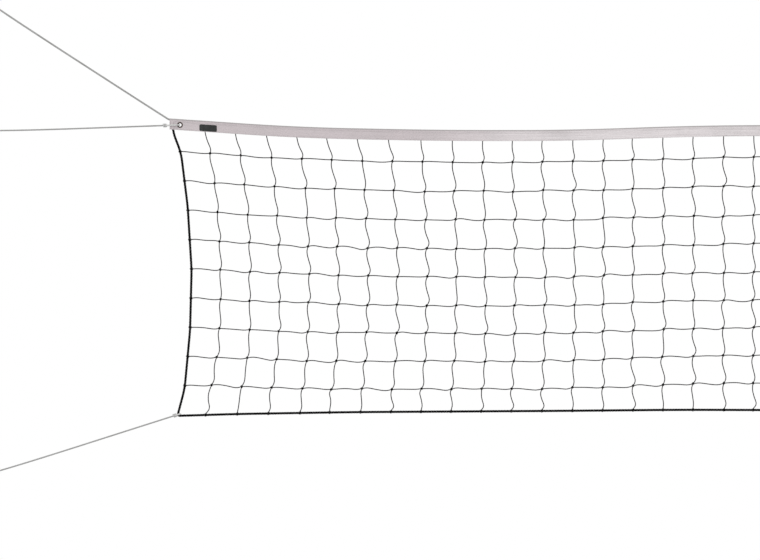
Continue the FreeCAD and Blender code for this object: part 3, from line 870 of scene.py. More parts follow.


# One white rope in two greys, both painted shade: darker on the free lengths, lighter on the knots and
# the head rope.
WHITE_ROPE = CordFinish(
    "white_braided_rope", (0.385, 0.385, 0.38), (0.26, 0.26, 0.255), (0.30, 0.295, 0.285),
    6.0, 0.016, 1.0, 0.0005, 0.75, 0.7)
KNOT_ROPE = CordFinish(
    "white_knotted_rope", (0.54, 0.54, 0.535), (0.34, 0.34, 0.335), (0.43, 0.425, 0.415),
    6.0, 0.016, 1.0, 0.0005, 0.75, 0.7)
BLACK_ROPE = CordFinish(
    "black_laid_rope", (0.004, 0.004, 0.0043), (0.001, 0.001, 0.001), (0.009, 0.009, 0.0085),
    3.0, 0.028, 0.0, 0.0008, 0.85, 0.6, 0.08)
TWINE = CordFinish(
    "netting_twine", (0.007, 0.007, 0.0073), (0.002, 0.002, 0.002), (0.015, 0.0148, 0.0145),
    3.0, 0.009, 0.0, 0.0004, 0.85, 0.6, 0.08)
SEWING_THREAD = CordFinish(
    "sewing_thread", (0.66, 0.64, 0.63), (0.4, 0.39, 0.38), (0.5, 0.48, 0.46),
    2.0, 0.002, 0.0, 0.0001, 0.7, 0.5)
LABEL_THREAD = CordFinish(
    "label_thread", (0.03, 0.031, 0.033), (0.01, 0.01, 0.01), (0.05, 0.05, 0.05),
    2.0, 0.002, 0.0, 0.0001, 0.7, 0.5)


def dress(
    piece: bpy.types.Object, finish: CordFinish | TapeFinish | PatchFinish | BronzeFinish,
    slot: str, *nodes: str, body: str = "net",
) -> bpy.types.Object:
    """Give a piece its finish and its body, and hide the CAD nodes that it stands for.

    Args:
        piece: the object.
        finish: its finish.
        slot: not used.
        nodes: names of the nodes it replaces.
        body: the CAD body that it moves with.

    Returns:
        The piece.
    """
    piece.data.materials.clear()
    piece.data.materials.append(finish.material())
    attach(piece, body)
    if nodes:
        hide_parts(*nodes)
    LOG.info("%s: %d faces, on %s", piece.name, len(piece.data.polygons), body)
    return piece


@dataclass(frozen=True)
class Headband:
    """The tape folded over the head rope, its rope pockets, eyelet holes and stitching."""

    layout: NetLayout
    flat_width: float = 0.081
    leaf: float = 0.0009
    half_thick: float = 0.00255
    fold_radius: float = 0.0041
    seam_drop: float = 0.0106
    hem_seam_drop: float = 0.0338
    seam_dips: Points = ((0.00035, 0.0008), (0.00028, 0.0007))
    waves: Points = ((0.00022, 0.37, 0.8), (0.00016, 0.113, 0.0))
    end_steps: Points = ((0, 0.0056, 0.0011), (0.0056, 0.0150, 0.00062), (0.0150, 0.046, 0.0012))
    pocket_x: float = 0.010
    pocket_radius: float = 0.00520
    pocket_seams: tuple[float, float] = (0.0036, 0.0164)
    eyelet_x: float = 0.0345
    eyelet_drop: float = 0.0218
    hole_radius: float = 0.0067
    drill_reach: float = 0.012
    drill_sides: int = 28
    stitch_pitch: float = 0.0062
    stitch_clear: float = 0.0104
    seam_stitch: float = 0.0044
    pocket_stitch: float = 0.0026
    thread: float = 0.0006

    def flank(self, drop: Array) -> Array:
        """Half the headband's thickness below the fold.

        It narrows from the fold to the leaves, swells by 0.1 mm between the seams and dips at each
        seam, by 0.35 exp(-(d/0.8)^2) and 0.28 exp(-(d/0.7)^2) mm.

        Args:
            drop: depth below the top edge.

        Returns:
            Half thickness.
        """
        dips = sum(deep * np.exp(-(((drop - at) / wide) ** 2)) for at, (deep, wide) in zip(
            (self.seam_drop, self.hem_seam_drop), self.seam_dips))
        fold_extra = self.fold_radius - self.half_thick - 0.0003
        neck = fold_extra * (1 - smooth_step(0.0056, self.seam_drop, drop))
        puff = 0.0001 * np.sin(math.pi * np.clip((drop - self.seam_drop) / 0.023, 0, 1))
        return self.half_thick + neck + puff - dips

    def half_profile(self, inset: float, hem_inset: float, hem_lift: float) -> tuple[Array, Array]:
        """Half of the section's outer or inner line, from the top of the fold down to the hem.

        Over the rope it is a circle, (r sin a, R - r cos a); below, the flank.

        Args:
            inset: how far the line lies inside the outer face.
            hem_inset: how far it ends inside the flank at the hem.
            hem_lift: how far it ends above the hem.

        Returns:
            Half thickness, and drop below the top edge.
        """
        bend = np.radians(np.linspace(0, 112, 9))
        below = np.concatenate([
            np.linspace(0.0066, 0.0130, 9), np.linspace(0.0170, 0.0310, 4),
            [0.0325, 0.0331, 0.0338, 0.0345, 0.0355, 0.0362]])
        radius = self.fold_radius - inset
        half = [radius * np.sin(bend), self.flank(below) - inset, [self.half_thick - hem_inset]]
        drop = [self.fold_radius - radius * np.cos(bend), below, [self.layout.band_drop - hem_lift]]
        return np.concatenate(half), np.concatenate(drop)

    def ring(self) -> tuple[Array, Array, Array]:
        """The whole section as one closed ring.

        It goes down the front outside from the fold, back up inside, over and down the back
        inside, and up the back outside.

        Returns:
            Depth towards the back, drop below the top edge, and U, the metres across the fold.
        """
        outer, outer_drop = self.half_profile(0.0, 0.0003, 0.0)
        inner, inner_drop = self.half_profile(self.leaf, 0.0008, 0.0001)
        depth = np.concatenate([-outer, -inner[::-1], inner[1:], outer[:0:-1]])
        drop = np.concatenate([outer_drop, inner_drop[::-1], inner_drop[1:], outer_drop[:0:-1]])
        return depth, drop, np.where(depth < 0, -drop, drop)

    def lid(self, count: int) -> Array:
        """Faces over the section's end, between each leaf's outer and inner line from the fold down.

        Args:
            count: places on one line.

        Returns:
            Ring places, shaped (faces, 4).
        """
        faces = []
        for way in (1, -1):
            step = way * np.arange(count)
            outer, inner = step % (4 * count - 2), 2 * count - 1 - step
            faces.append(np.stack([outer[:-1], inner[:-1], inner[1:], outer[1:]], axis=-1)[:, ::way])
        return np.concatenate(faces)

    def stations(self) -> Array:
        """Places along the headband, close together at its ends.

        Returns:
            Distances from its left end.
        """
        end = np.concatenate([np.arange(*part) for part in self.end_steps])
        middle = np.arange(0.05, self.layout.length - 0.05, 0.022)
        return np.concatenate([end, middle, (self.layout.length - end)[::-1]])

    def surface(self) -> Surface:
        """The tape: the section carried along the sagging top edge.

        Below the fold both leaves bulge over the side rope: the half thickness becomes the larger
        of itself and sqrt(r^2 - (x - pocket)^2). Slow waves of up to 0.4 mm run along the leaves.

        Returns:
            The closed surface.
        """
        depth, drop, across = self.ring()
        x = self.stations()
        end = self.layout.end_distance(x)
        bulge = np.sqrt(np.clip(self.pocket_radius ** 2 - (end - self.pocket_x) ** 2, 0, None))
        below = smooth_step(0.0075, 0.0105, drop)[None, :] * smooth_step(-0.001, 0.0, end)[:, None]
        count, index = (len(depth) + 2) // 4, np.arange(len(depth))
        inside = (index >= len(depth) // 4) & (index < 3 * len(depth) // 4)
        room = bulge[:, None] - np.where(inside, self.leaf, 0.0)
        lifted = np.abs(depth) + below * np.maximum(room - np.abs(depth), 0)
        waves = sum(high * np.sin(TURN * x / long + shift) for high, long, shift in self.waves)
        loose = smooth_step(0.012, 0.03, drop) * smooth_step(0.05, 0.12, end)[:, None]
        cut_end = np.where(end < 1e-6, np.where(x < 1, 1.0, -1.0), 0.0)
        frayed = 0.00035 * np.sin(drop * 2900) * cut_end[:, None]
        points = self.layout.place(
            x[:, None] + frayed, np.sign(depth) * lifted + waves[:, None] * loose,
            self.layout.top(x)[:, None] - drop)
        return grid_surface(
            points[None], x[None], around=np.concatenate([across, across[:1]]), lid=self.lid(count))

    def turned(self, centre_x: float, outline: Array, turns: int) -> Array:
        """An outline of radius and depth turned about an eyelet's axis: (r cos a, depth, r sin a).

        Args:
            centre_x: the eyelet's place along the headband.
            outline: radius and depth of each corner, shaped (corners, 2).
            turns: places round the axis.

        Returns:
            Places, shaped (corners, turns, 3).
        """
        radius, depth = outline.T[..., None]
        angle = TURN * np.arange(turns) / turns
        return self.layout.place(
            centre_x + radius * np.cos(angle), depth, radius * np.sin(angle) - self.eyelet_drop)

    def punched(self, tape: bpy.types.Object) -> None:
        """Cut the two eyelet holes through both leaves, and keep the result as the tape's mesh.

        Args:
            tape: the headband's object.
        """
        outline = np.array([(self.hole_radius, -self.drill_reach), (self.hole_radius, self.drill_reach)])
        drill = Surface.joined([
            grid_surface(self.turned(x, outline, self.drill_sides)[None], outline[None, :, 1])
            for x in (self.eyelet_x, self.layout.length - self.eyelet_x)]).to_object("hole_cutter")
        cut = tape.modifiers.new("eyelet_holes", "BOOLEAN")
        cut.operation = "DIFFERENCE"
        cut.solver = "EXACT"
        cut.object = drill
        bpy.context.view_layer.update()
        mesh = evaluated_mesh(tape)
        tape.modifiers.clear()
        old, tape.data = tape.data, mesh
        mesh.name = tape.name
        bpy.data.meshes.remove(old)
        bpy.data.objects.remove(drill)

    def stitch_rows(self) -> Surface:
        """Stitches along both seams on both faces, and down both sides of each rope pocket.

        Returns:
            All of the stitches.
        """
        layout, rows = self.layout, []
        x = np.arange(0.024, layout.length - 0.024, self.stitch_pitch)
        run = np.stack([np.ones_like(x), np.zeros_like(x), np.gradient(layout.top(x), x)], axis=-1)
        for drop in (self.seam_drop, self.hem_seam_drop):
            away = np.hypot(layout.end_distance(x) - self.eyelet_x, drop - self.eyelet_drop)
            clear = away > self.stitch_clear
            lift = float(self.flank(np.array([drop]))[0]) + 0.0001
            rows.append((x[clear], lift, drop, run[clear], self.seam_stitch))
        drops = np.arange(0.0125, 0.0355, 0.0035)
        for seam_x in self.pocket_seams:
            for at in (seam_x, layout.length - seam_x):
                rows.append((at, self.half_thick + 0.00025, drops, UP, self.pocket_stitch))
        return Surface.joined([
            stitches(layout.place(at, side * lift, layout.top(at) - drop), run, side * BACKWARD,
                     long, self.thread)
            for at, lift, drop, run, long in rows for side in (-1.0, 1.0)])

    def build(self) -> None:
        tape = self.surface().to_object("headband_tape")
        self.punched(tape)
        dress(tape, TapeFinish(), "headband_tape", "headband")
        thread = dress(self.stitch_rows().to_object("headband_stitching"), SEWING_THREAD, "headband_tape")


@dataclass(frozen=True)
class Eyelets:
    """Flanged eyelets with a domed face, and the washers under their rolled backs.

    Each outline gives radius and depth in millimetres.
    """

    band: Headband
    turns: int = 56
    face: Points = (
        (5.40, 2.85), (5.35, -2.15), (5.50, -2.8), (5.95, -3.3), (6.8, -3.57), (7.7, -3.61),
        (8.5, -3.5), (9.15, -3.25), (9.6, -2.9), (9.68, -2.67), (9.3, -2.55), (6.5, -2.55),
        (6.5, 3.4), (7.0, 3.47), (7.2, 3.67), (7.0, 3.95), (6.4, 4.0), (5.7, 3.65))
    washer: Points = (
        (6.6, 2.57), (6.6, 3.39), (8.6, 3.41), (9.3, 3.27), (9.62, 2.97), (9.6, 2.67), (9.3, 2.57))

    def build(self) -> None:
        """Make and dress both eyelets and both washers."""
        for end in End:
            for title, outline in (("eyelet", self.face), ("eyelet_washer", self.washer)):
                points = self.band.turned(self.band.eyelet_x, np.array(outline) * MILLIMETRE, self.turns)
                along = np.linspace(0, 1, len(outline))[None]
                piece = grid_surface(end.place(points)[None], along, closed_along=True)
                dress(piece.to_object(f"{title}_ring_{end.value}"), BronzeFinish(), "eyelet_metal",
                      f"{title}_{end.value}")


@dataclass(frozen=True)
class LabelPatch:
    """A plain dark patch sewn on the front of the headband."""

    band: Headband
    centre_x: float = 0.128
    long: float = 0.058
    tall: float = 0.022
    thick: float = 0.0006
    squareness: float = 9.0
    clearance: float = 0.0001
    seam_inset: float = 0.0016
    stitch_count: int = 44
    rim_places: int = 96
    scale: tuple[float, ...] = (0.05, 0.4, 0.8, 0.93, 0.965, 0.99, 1.0, 0.995, 0.9, 0.4, 0.05)
    lift: tuple[float, ...] = (1.0, 1.0, 1.0, 0.86, 1.0, 0.85, 0.45, 0.0, 0.0, 0.0, 0.0)

    def outline(self, share: Array) -> Array:
        """A rectangle with rounded corners: |x/a|^n + |z/b|^n = 1.

        Args:
            share: places round it, from 0 to 1.

        Returns:
            x and z from the patch's middle, shaped (2, places).
        """
        turn = np.stack([np.cos(TURN * share), np.sin(TURN * share)])
        size = np.array([[self.long], [self.tall]])
        return np.sign(turn) * np.abs(turn) ** (2 / self.squareness) * size / 2

    def place(self, x: Array, lift: Array, z: Array) -> Array:
        """Places on the patch, in the row frame.

        Args:
            x: along the net from the patch's middle.
            lift: how far they stand off its back.
            z: up from its middle.

        Returns:
            The places.
        """
        layout, drop = self.band.layout, (self.band.seam_drop + self.band.layout.band_drop) / 2
        return layout.place(self.centre_x + x, -(self.band.half_thick + self.clearance + lift),
                            layout.top(self.centre_x + x) - drop + z)

    def surface(self) -> Surface:
        """Rings of the outline, from the middle of the face to the rim and back behind it.

        Returns:
            The closed surface.
        """
        rim = self.outline(np.arange(self.rim_places) / self.rim_places)
        x, z = np.array(self.scale)[:, None] * rim[:, None]
        points = self.place(x, np.array(self.lift)[:, None] * self.thick, z)
        return grid_surface(points[None], np.linspace(0, 1, len(self.scale))[None])

    def seam(self) -> Surface:
        """Stitches just inside the patch's rim.

        Returns:
            The stitches.
        """
        rim = self.outline(np.linspace(0, 1, 1201))
        far = np.abs(rim) > np.array([[0.02], [0.008]])
        path = (rim - self.seam_inset * np.sign(rim) * far).T
        along = run_length(path[None])[0]
        at = (np.arange(self.stitch_count) + 0.5) / self.stitch_count * along[-1]
        here, ahead = (np.array([np.interp(at + step, along, line) for line in path.T])
                       for step in (0.0, 0.0005))
        run = np.insert(ahead - here, 1, 0.0, axis=0).T
        return stitches(self.place(here[0], self.thick, here[1]), run, -BACKWARD, 0.0026, 0.0005)

    def build(self) -> None:
        """Make and dress the patch and its stitches."""
        patch = dress(
            self.surface().to_object("label_patch_cloth"), PatchFinish(), "label_cloth", "label_patch")
        dress(self.seam().to_object("label_stitching"), LABEL_THREAD, "label_cloth")


@dataclass(frozen=True)
class BorderRopes:
    """The black rope down both sides and along the bottom, and the head rope in the fold."""

    layout: NetLayout
    thickness: float = 0.008
    head_thickness: float = 0.006
    head_drop: float = 0.0041
    pitch: float = 0.028
    sides: int = 14
    pocket_drop: float = 0.011
    corner_drop: float = 0.988
    meeting_drop: float = 0.9766
    corner_reach: float = 0.010

    def side_path(self) -> Array:
        """The left side rope's middle line, from inside its pocket to where the bottom rope meets it."""
        z = -np.linspace(self.pocket_drop, self.meeting_drop, 700)
        return even_stations(self.layout.place(self.layout.side(z), np.zeros_like(z), z), 0.0016)

    def bottom_path(self) -> Array:
        """The bottom rope's middle line, with both its upturned corners.

        A corner is the curve (1-t)^2 a + 2t(1-t) b + t^2 c from the meeting point a, round the
        corner b, to a point c on the bottom line.

        Returns:
            Places, shaped (stations, 3).
        """
        last, meet = self.side_path()[-2:, [0, 2]] - (self.layout.corner_x, self.layout.corner_z)
        fall = meet - last
        turn = meet - fall / fall[1] * (meet[1] + self.corner_drop)
        away_x = turn[0] + self.corner_reach
        away = np.array([away_x, self.layout.foot(np.array([away_x]))[0]])
        t = np.linspace(0, 1, 14)[:, None]
        bend = (1 - t) ** 2 * meet + 2 * t * (1 - t) * turn + t ** 2 * away
        x = np.linspace(away_x, self.layout.length - away_x, 4600)[1:-1]
        far = np.stack([self.layout.length - bend[::-1, 0], bend[::-1, 1]], axis=-1)
        flat = np.concatenate([bend, np.stack([x, self.layout.foot(x)], axis=-1), far])
        return even_stations(self.layout.place(flat[:, 0], 0.0, flat[:, 1]), 0.0021)

    def laid(self, path: Array, before: float = 0.0) -> Surface:
        """A laid rope along a path.

        Args:
            path: its middle line, shaped (stations, 3).
            before: length of the same rope before the path, so that its strands carry on.

        Returns:
            The closed rope.
        """
        along = run_length(path[None]) + before
        radius = lay_radius(Lay.LAID, self.thickness, self.pitch, along, self.sides)
        return tube(path[None], radius, self.sides)

    def build(self) -> None:
        """Make and dress the side ropes, the bottom rope and the head rope's hidden length."""
        side = self.side_path()
        before = float(run_length(side[None])[0, -1])
        side = np.concatenate([side, 2 * side[-1:] - side[-2:-1]])
        for end in End:
            piece = self.laid(end.place(side)).to_object(f"side_rope_laid_{end.value}")
            dress(piece, BLACK_ROPE, "black_rope", f"side_rope_{end.value}")
        bottom = self.laid(self.bottom_path(), before).to_object("bottom_rope_laid")
        dress(bottom, BLACK_ROPE, "black_rope", "bottom_rope")
        x = np.linspace(0.0, self.layout.length, 500)
        path = self.layout.place(x, 0.0, self.layout.top(x) - self.head_drop)[None]
        head = tube(path, np.array(self.head_thickness / 2), self.sides).to_object("head_rope_core")
        dress(head, KNOT_ROPE, "white_rope", "head_rope")


@dataclass(frozen=True)
class Bends:
    """How twines bend from knot to knot: the mean and the spread of each amount, in metres.

    A twine swings off the straight line by s = -(sin 2 pi t + 0.15 sin 4 pi t), times an amount
    that goes from near to far, with bow sin pi t on top.
    """

    seed: int
    near: tuple[float, float]
    far: tuple[float, float]
    bow: tuple[float, float]
    samples: int = 14

    def drawn(
        self, shape: tuple[int, int], easing: Array,
    ) -> tuple[Array, Array, Array, np.random.Generator]:
        """Draw the amounts.

        Args:
            shape: twines and spans.
            easing: what each twine's near and far amounts are multiplied by.

        Returns:
            Near, far and bow for each span, and the generator.
        """
        rng = np.random.default_rng(self.seed)
        near, far, bow = (rng.normal(*amount, shape) for amount in (self.near, self.far, self.bow))
        return near * easing[:, None], far * easing[:, None], bow, rng

    def lines(self, nodes: Array, near: Array, far: Array, bow: Array, way: tuple[float, float]) -> Array:
        """Twines through their nodes.

        Args:
            nodes: x and z of each twine's nodes, shaped (twines, nodes, 2).
            near: amount after the first node of each span.
            far: amount before the second.
            bow: how far the middle of the span stands off.
            way: x and z of the direction that they swing in.

        Returns:
            x and z, shaped (twines, places, 2).
        """
        t = np.arange(self.samples) / self.samples
        amount = near[..., None] + (far - near)[..., None] * smooth_step(0.0, 1.0, t)
        wave = np.sin(TURN * t) + 0.15 * np.sin(2 * TURN * t)
        swing = bow[..., None] * np.sin(math.pi * t) - wave * amount
        straight = nodes[:, :-1, None] * (1 - t)[:, None] + nodes[:, 1:, None] * t[:, None]
        swung = straight + swing[..., None] * np.array(way)
        return np.concatenate([swung.reshape(len(nodes), -1, 2), nodes[:, -1:]], axis=1)


@dataclass(frozen=True)
class Netting:
    """Square netting: cross twines, upright twines, a knot at each crossing and border hitches."""

    layout: NetLayout
    ropes: BorderRopes
    twine: float = 0.0032
    sides: int = 6
    upright: Bends = Bends(7, (0.0034, 0.0014), (0.0056, 0.0015), (0.0007, 0.0013))
    cross: Bends = Bends(11, (0.0016, 0.0012), (0.0024, 0.0013), (0.0010, 0.0011))
    last_far: tuple[float, float] = (0.0045, 0.003)
    knot_seed: int = 5
    knot_reach: float = 0.0028
    knot_turns: float = 1.8
    knot_twine: float = 0.0043
    knot_pitch: float = 0.0032
    knot_slant: tuple[float, float] = (46, 6)
    knot_tilt: tuple[float, float] = (0, 0.12)
    hitch_twine: float = 0.0026
    hitch_pitch: float = 0.0027
    hitch_lift: float = 0.0006
    ahead: float = 0.01

    def upright_nodes(self) -> Array:
        """Places along each upright twine: in the headband, at its nine knots and on the bottom rope.

        Returns:
            x and z, shaped (columns, 11, 2).
        """
        layout = self.layout
        knots = layout.knots()
        inward, from_end = layout.inward(), layout.from_end()
        top_lean = layout.top_lean / (1 + np.exp(2 * (from_end - layout.top_lean_columns)))
        top_x = knots[0, :, 0] - inward * top_lean
        top = np.stack([top_x, layout.top(top_x) - layout.band_drop + layout.tuck], axis=-1)
        foot_lean = layout.foot_lean * np.exp(-from_end / layout.foot_lean_columns)
        foot_x = knots[0, :, -1] - inward * foot_lean
        foot = np.stack([foot_x, layout.foot(foot_x) + self.ropes.thickness / 2], axis=-1)
        return np.concatenate([top[:, None], np.moveaxis(knots, 0, -1), foot[:, None]], axis=1)

    def cross_nodes(self) -> Array:
        """Places along each cross twine: on the side ropes and at its knots.

        Returns:
            x and z, shaped (rows, columns + 2, 2).
        """
        layout = self.layout
        end_z = layout.row(np.arange(layout.rows), np.full(layout.rows, 0.04))
        end_x = layout.side(end_z) + self.ropes.thickness / 2
        left, right = (np.stack([x, end_z], axis=-1)[:, None] for x in (end_x, layout.length - end_x))
        return np.concatenate([left, layout.knots().T, right], axis=1)

    def tubes(self, line: Array, depth: float) -> Surface:
        """Twines of even thickness along lines of x and z."""
        path = self.layout.place(line[..., 0], depth, line[..., 1])
        return tube(path, np.array(self.twine / 2), self.sides)

    def uprights(self) -> Surface:
        """Upright twines: each leaves a knot low on the left, swings right and enters the next one high.

        Returns:
            The twines.
        """
        nodes = self.upright_nodes()
        easing = 0.72 + 0.28 * smooth_step(0.0, 6.0, self.layout.from_end())
        near, far, bow, rng = self.upright.drawn((len(nodes), nodes.shape[1] - 1), easing)
        near[:, 0], far[:, 0], bow[:, 0] = near[:, 0] * 0.1, far[:, 0] * 0.85, bow[:, 0] * 0.5
        far[:, -1] = rng.normal(*self.last_far, len(nodes))
        return self.tubes(self.upright.lines(nodes, near, far, bow, (1.0, 0.0)), 0.0)

    def crossings(self) -> Surface:
        """Cross twines: each leaves a knot a little high and dips before the next one.

        Returns:
            The twines.
        """
        nodes = self.cross_nodes()
        easing = 0.4 + 0.6 * smooth_step(0.0, 3.0, np.arange(len(nodes)))
        amounts = self.cross.drawn((len(nodes), nodes.shape[1] - 1), easing)[:3]
        return self.tubes(self.cross.lines(nodes, *amounts, (0.0, -1.0)), -self.twine)

    def knots(self) -> Surface:
        """A short tight coil at each crossing, its axis slanting up to the right.

        Returns:
            The coils.
        """
        rng = np.random.default_rng(self.knot_seed)
        x, z = self.layout.knots()
        centre = self.layout.place(x, -self.twine / 2, z).reshape(-1, 3)
        slant = np.radians(rng.normal(*self.knot_slant, len(centre)))
        axis = np.stack([np.cos(slant), rng.normal(*self.knot_tilt, len(centre)), np.sin(slant)], axis=-1)
        return coils(centre, axis, self.knot_reach, self.knot_twine, self.knot_turns, self.knot_pitch,
                     13, 5, rng.uniform(0, TURN, len(centre)))

    def hitches(self, here: Array, further: Array, turns: float, steps: int) -> Surface:
        """Turns of twine round a border rope, from its middle at each hitch and a little further on."""
        reach = self.ropes.thickness / 2 + self.hitch_lift
        return coils(here, further - here, reach, self.hitch_twine, turns, self.hitch_pitch, steps, 5)

    def side_hitches(self, end: End) -> Surface:
        """Two turns of twine round a side rope at each cross twine.

        Args:
            end: which end of the net.

        Returns:
            The hitches.
        """
        z = self.cross_nodes()[:, 0, 1]
        here, further = (self.layout.place(self.layout.side(at), 0.0, at) for at in (z, z - self.ahead))
        surface = self.hitches(here, further, 2.2, 22)
        return replace(surface, points=end.place(surface.points)).facing_out()

    def foot_hitches(self) -> Surface:
        """Two turns of twine round the bottom rope at each upright twine.

        Returns:
            The hitches.
        """
        x = self.upright_nodes()[:, -1, 0]
        here, further = (self.layout.place(at, 0.0, self.layout.foot(at)) for at in (x, x + self.ahead))
        return self.hitches(here, further, 2.1, 20)

    def build(self) -> None:
        """Make and dress the twines, knots and hitches."""
        for name, surface, node in (
            ("netting_cross_twines", self.crossings(), "netting_rows"),
            ("netting_upright_twines", self.uprights(), "netting_columns"),
            ("netting_tied_knots", self.knots(), "netting_knots"),
            ("bottom_rope_hitches", self.foot_hitches(), "bottom_hitches"),
            ("side_rope_hitches_left", self.side_hitches(End.LEFT), "row_hitches_left"),
            ("side_rope_hitches_right", self.side_hitches(End.RIGHT), "row_hitches_right"),
        ):
            dress(surface.to_object(name), TWINE, "netting_twine", node)


@dataclass(frozen=True)
class TiedRope:
    """A free white rope at the left end: its route, its knots and what it stands for."""

    title: str
    body: str
    route: Points
    thickness: float
    length: float
    knots: Points
    knots_node: str
    bight: bool
    # Length along the route that keeps the paler painted lit tone.
    lit_tone_length: float
    knot_turns: tuple[float, ...] = (2.6, 3.0)
    pitch: float = 0.022
    sides: int = 14

    def path(self, end: End) -> Array:
        """The rope's middle line, read from a NURBS curve through its route.

        Args:
            end: which end of the net.

        Returns:
            Places an even 1.4 mm apart, shaped (stations, 3).
        """
        curve = bpy.data.curves.new(self.title + "_route", "CURVE")
        curve.dimensions = "3D"
        spline = curve.splines.new("NURBS")
        spline.points.add(len(self.route) - 1)
        route = end.place(np.array(self.route))
        spline.points.foreach_set("co", np.column_stack([route, np.ones(len(route))]).ravel())
        spline.order_u = 3
        spline.use_endpoint_u = True
        spline.resolution_u = 40
        holder = linked(curve.name, curve)
        mesh = evaluated_mesh(holder)
        places = np.zeros(3 * len(mesh.vertices), dtype=np.float32)
        mesh.vertices.foreach_get("co", places)
        bpy.data.meshes.remove(mesh)
        bpy.data.objects.remove(holder)
        bpy.data.curves.remove(curve)
        return even_stations(places.reshape(-1, 3).astype(float), 0.0014)

    def normals(self, path: Array) -> Array:
        """A direction square to the rope that doesn't twist along it.

        In the bight, which lies across the net, it is square to the plane of the bight. Further
        on the rope lies in the net's plane, and it is square to the rope in that plane.

        Args:
            path: the rope's middle line, shaped (1, stations, 3).

        Returns:
            Directions, shaped like the path.
        """
        tangent = unit(np.gradient(path, axis=1))
        planar = np.cross(BACKWARD, tangent)
        if not self.bight:
            return unit(planar)
        half = path.shape[1] // 2
        across = np.cross(BACKWARD, tangent[:, half])[:, None]
        upright = across - (across * tangent).sum(axis=-1, keepdims=True) * tangent
        return unit(np.where(np.arange(path.shape[1])[None, :, None] < half, upright, planar))

    def knot_surface(self, end: End, path: Array) -> Surface:
        """The rope's knots: side by side turns about its line, with one turn riding over them.

        Args:
            end: which end of the net.
            path: the rope's middle line, shaped (stations, 3).

        Returns:
            All of its knots.
        """
        parts, thick, half = [], self.thickness, len(path) // 2
        for place, turns in zip(self.knots, self.knot_turns[-len(self.knots):]):
            centre = end.place(np.array(place))[None]
            run = path[half] - centre[0]
            axis = unit(run if abs(run[0]) > 0.05 else path[half + 4] - path[half])[None]
            parts.append(coils(
                centre, axis, thick * 0.86, thick * 0.92, turns, thick * 0.84, int(16 * turns), 10))
            parts.append(coils(
                centre, unit(axis + 1.5 * np.cross(axis, BACKWARD)), thick * 1.22, thick * 0.86, 0.92,
                thick * 0.2, 22, 10, 0.6))
        return Surface.joined(parts)

    def build(self) -> None:
        rope = replace(WHITE_ROPE, lit_tone_length=self.lit_tone_length)
        for end in End:
            path = self.path(end)
            line = path[None]
            radius = lay_radius(Lay.BRAIDED, self.thickness, self.pitch, run_length(line), self.sides)
            surface = tube(line, radius, self.sides, self.normals(line))
            body = self.body.format(end.value)
            piece = dress(surface.to_object(f"{self.title}_braided_{end.value}"), rope, "white_rope",
                          f"{self.title}_{end.value}", body=body)
            knots = dress(self.knot_surface(end, path).to_object(f"{self.title}_tied_knots_{end.value}"),
                          KNOT_ROPE, "white_rope", self.knots_node.format(end.value), body=body)
            self.length


HEAD_TAIL = TiedRope(
    "head_rope_tail", "net",
    ((0.667, 0.0, -0.42195), (0.6548, 0.0, -0.4212), (0.6480, 0.0, -0.41862), (0.05877, 0.0, -0.03802),
     (-0.00371, 0.0, 0.01728), (-0.01728, 0.0, -0.00371), (0.05037, 0.0, -0.03997)),
    0.006, 0.88, ((0.05877, 0.0, -0.03802),), "head_rope_knots", False, -1.0)
EYELET_TIE = TiedRope(
    "eyelet_rope", "eyelet_tie_{}",
    ((0.64003, 0.0026, -0.44053), (0.65352, 0.00805, -0.44006), (0.6879, 0.00805, -0.43886),
     (0.6879, -0.00805, -0.43886), (0.65352, -0.00805, -0.44006), (0.63953, -0.0026, -0.44054),
     (0.62954, 0.0, -0.44089), (0.06996, 0.0, -0.46043), (-0.01293, 0.0, -0.45082),
     (-0.01206, 0.0, -0.47581), (0.06514, 0.0, -0.46581)),
    0.005, 0.85, ((0.63953, 0.0, -0.44054), (0.06996, 0.0, -0.46043)),
    "eyelet_rope_knots_{}", True, 0.108)
CORNER_TIE = TiedRope(
    "corner_rope", "corner_tie_{}",
    ((0.67343, 0.0026, -1.40275), (0.6801, 0.00685, -1.40062), (0.69058, 0.00685, -1.39728),
     (0.69058, -0.00685, -1.39728), (0.6801, -0.00685, -1.40062), (0.67295, -0.0026, -1.4029),
     (0.66342, 0.0, -1.40594), (0.06669, 0.0, -1.59639), (-0.01571, 0.0, -1.60956),
     (-0.00811, 0.0, -1.63338), (0.0635, 0.0, -1.60286)),
    0.005, 0.85, ((0.67295, 0.0, -1.4029), (0.06669, 0.0, -1.59639)),
    "corner_rope_knots_{}", True, 0.05)


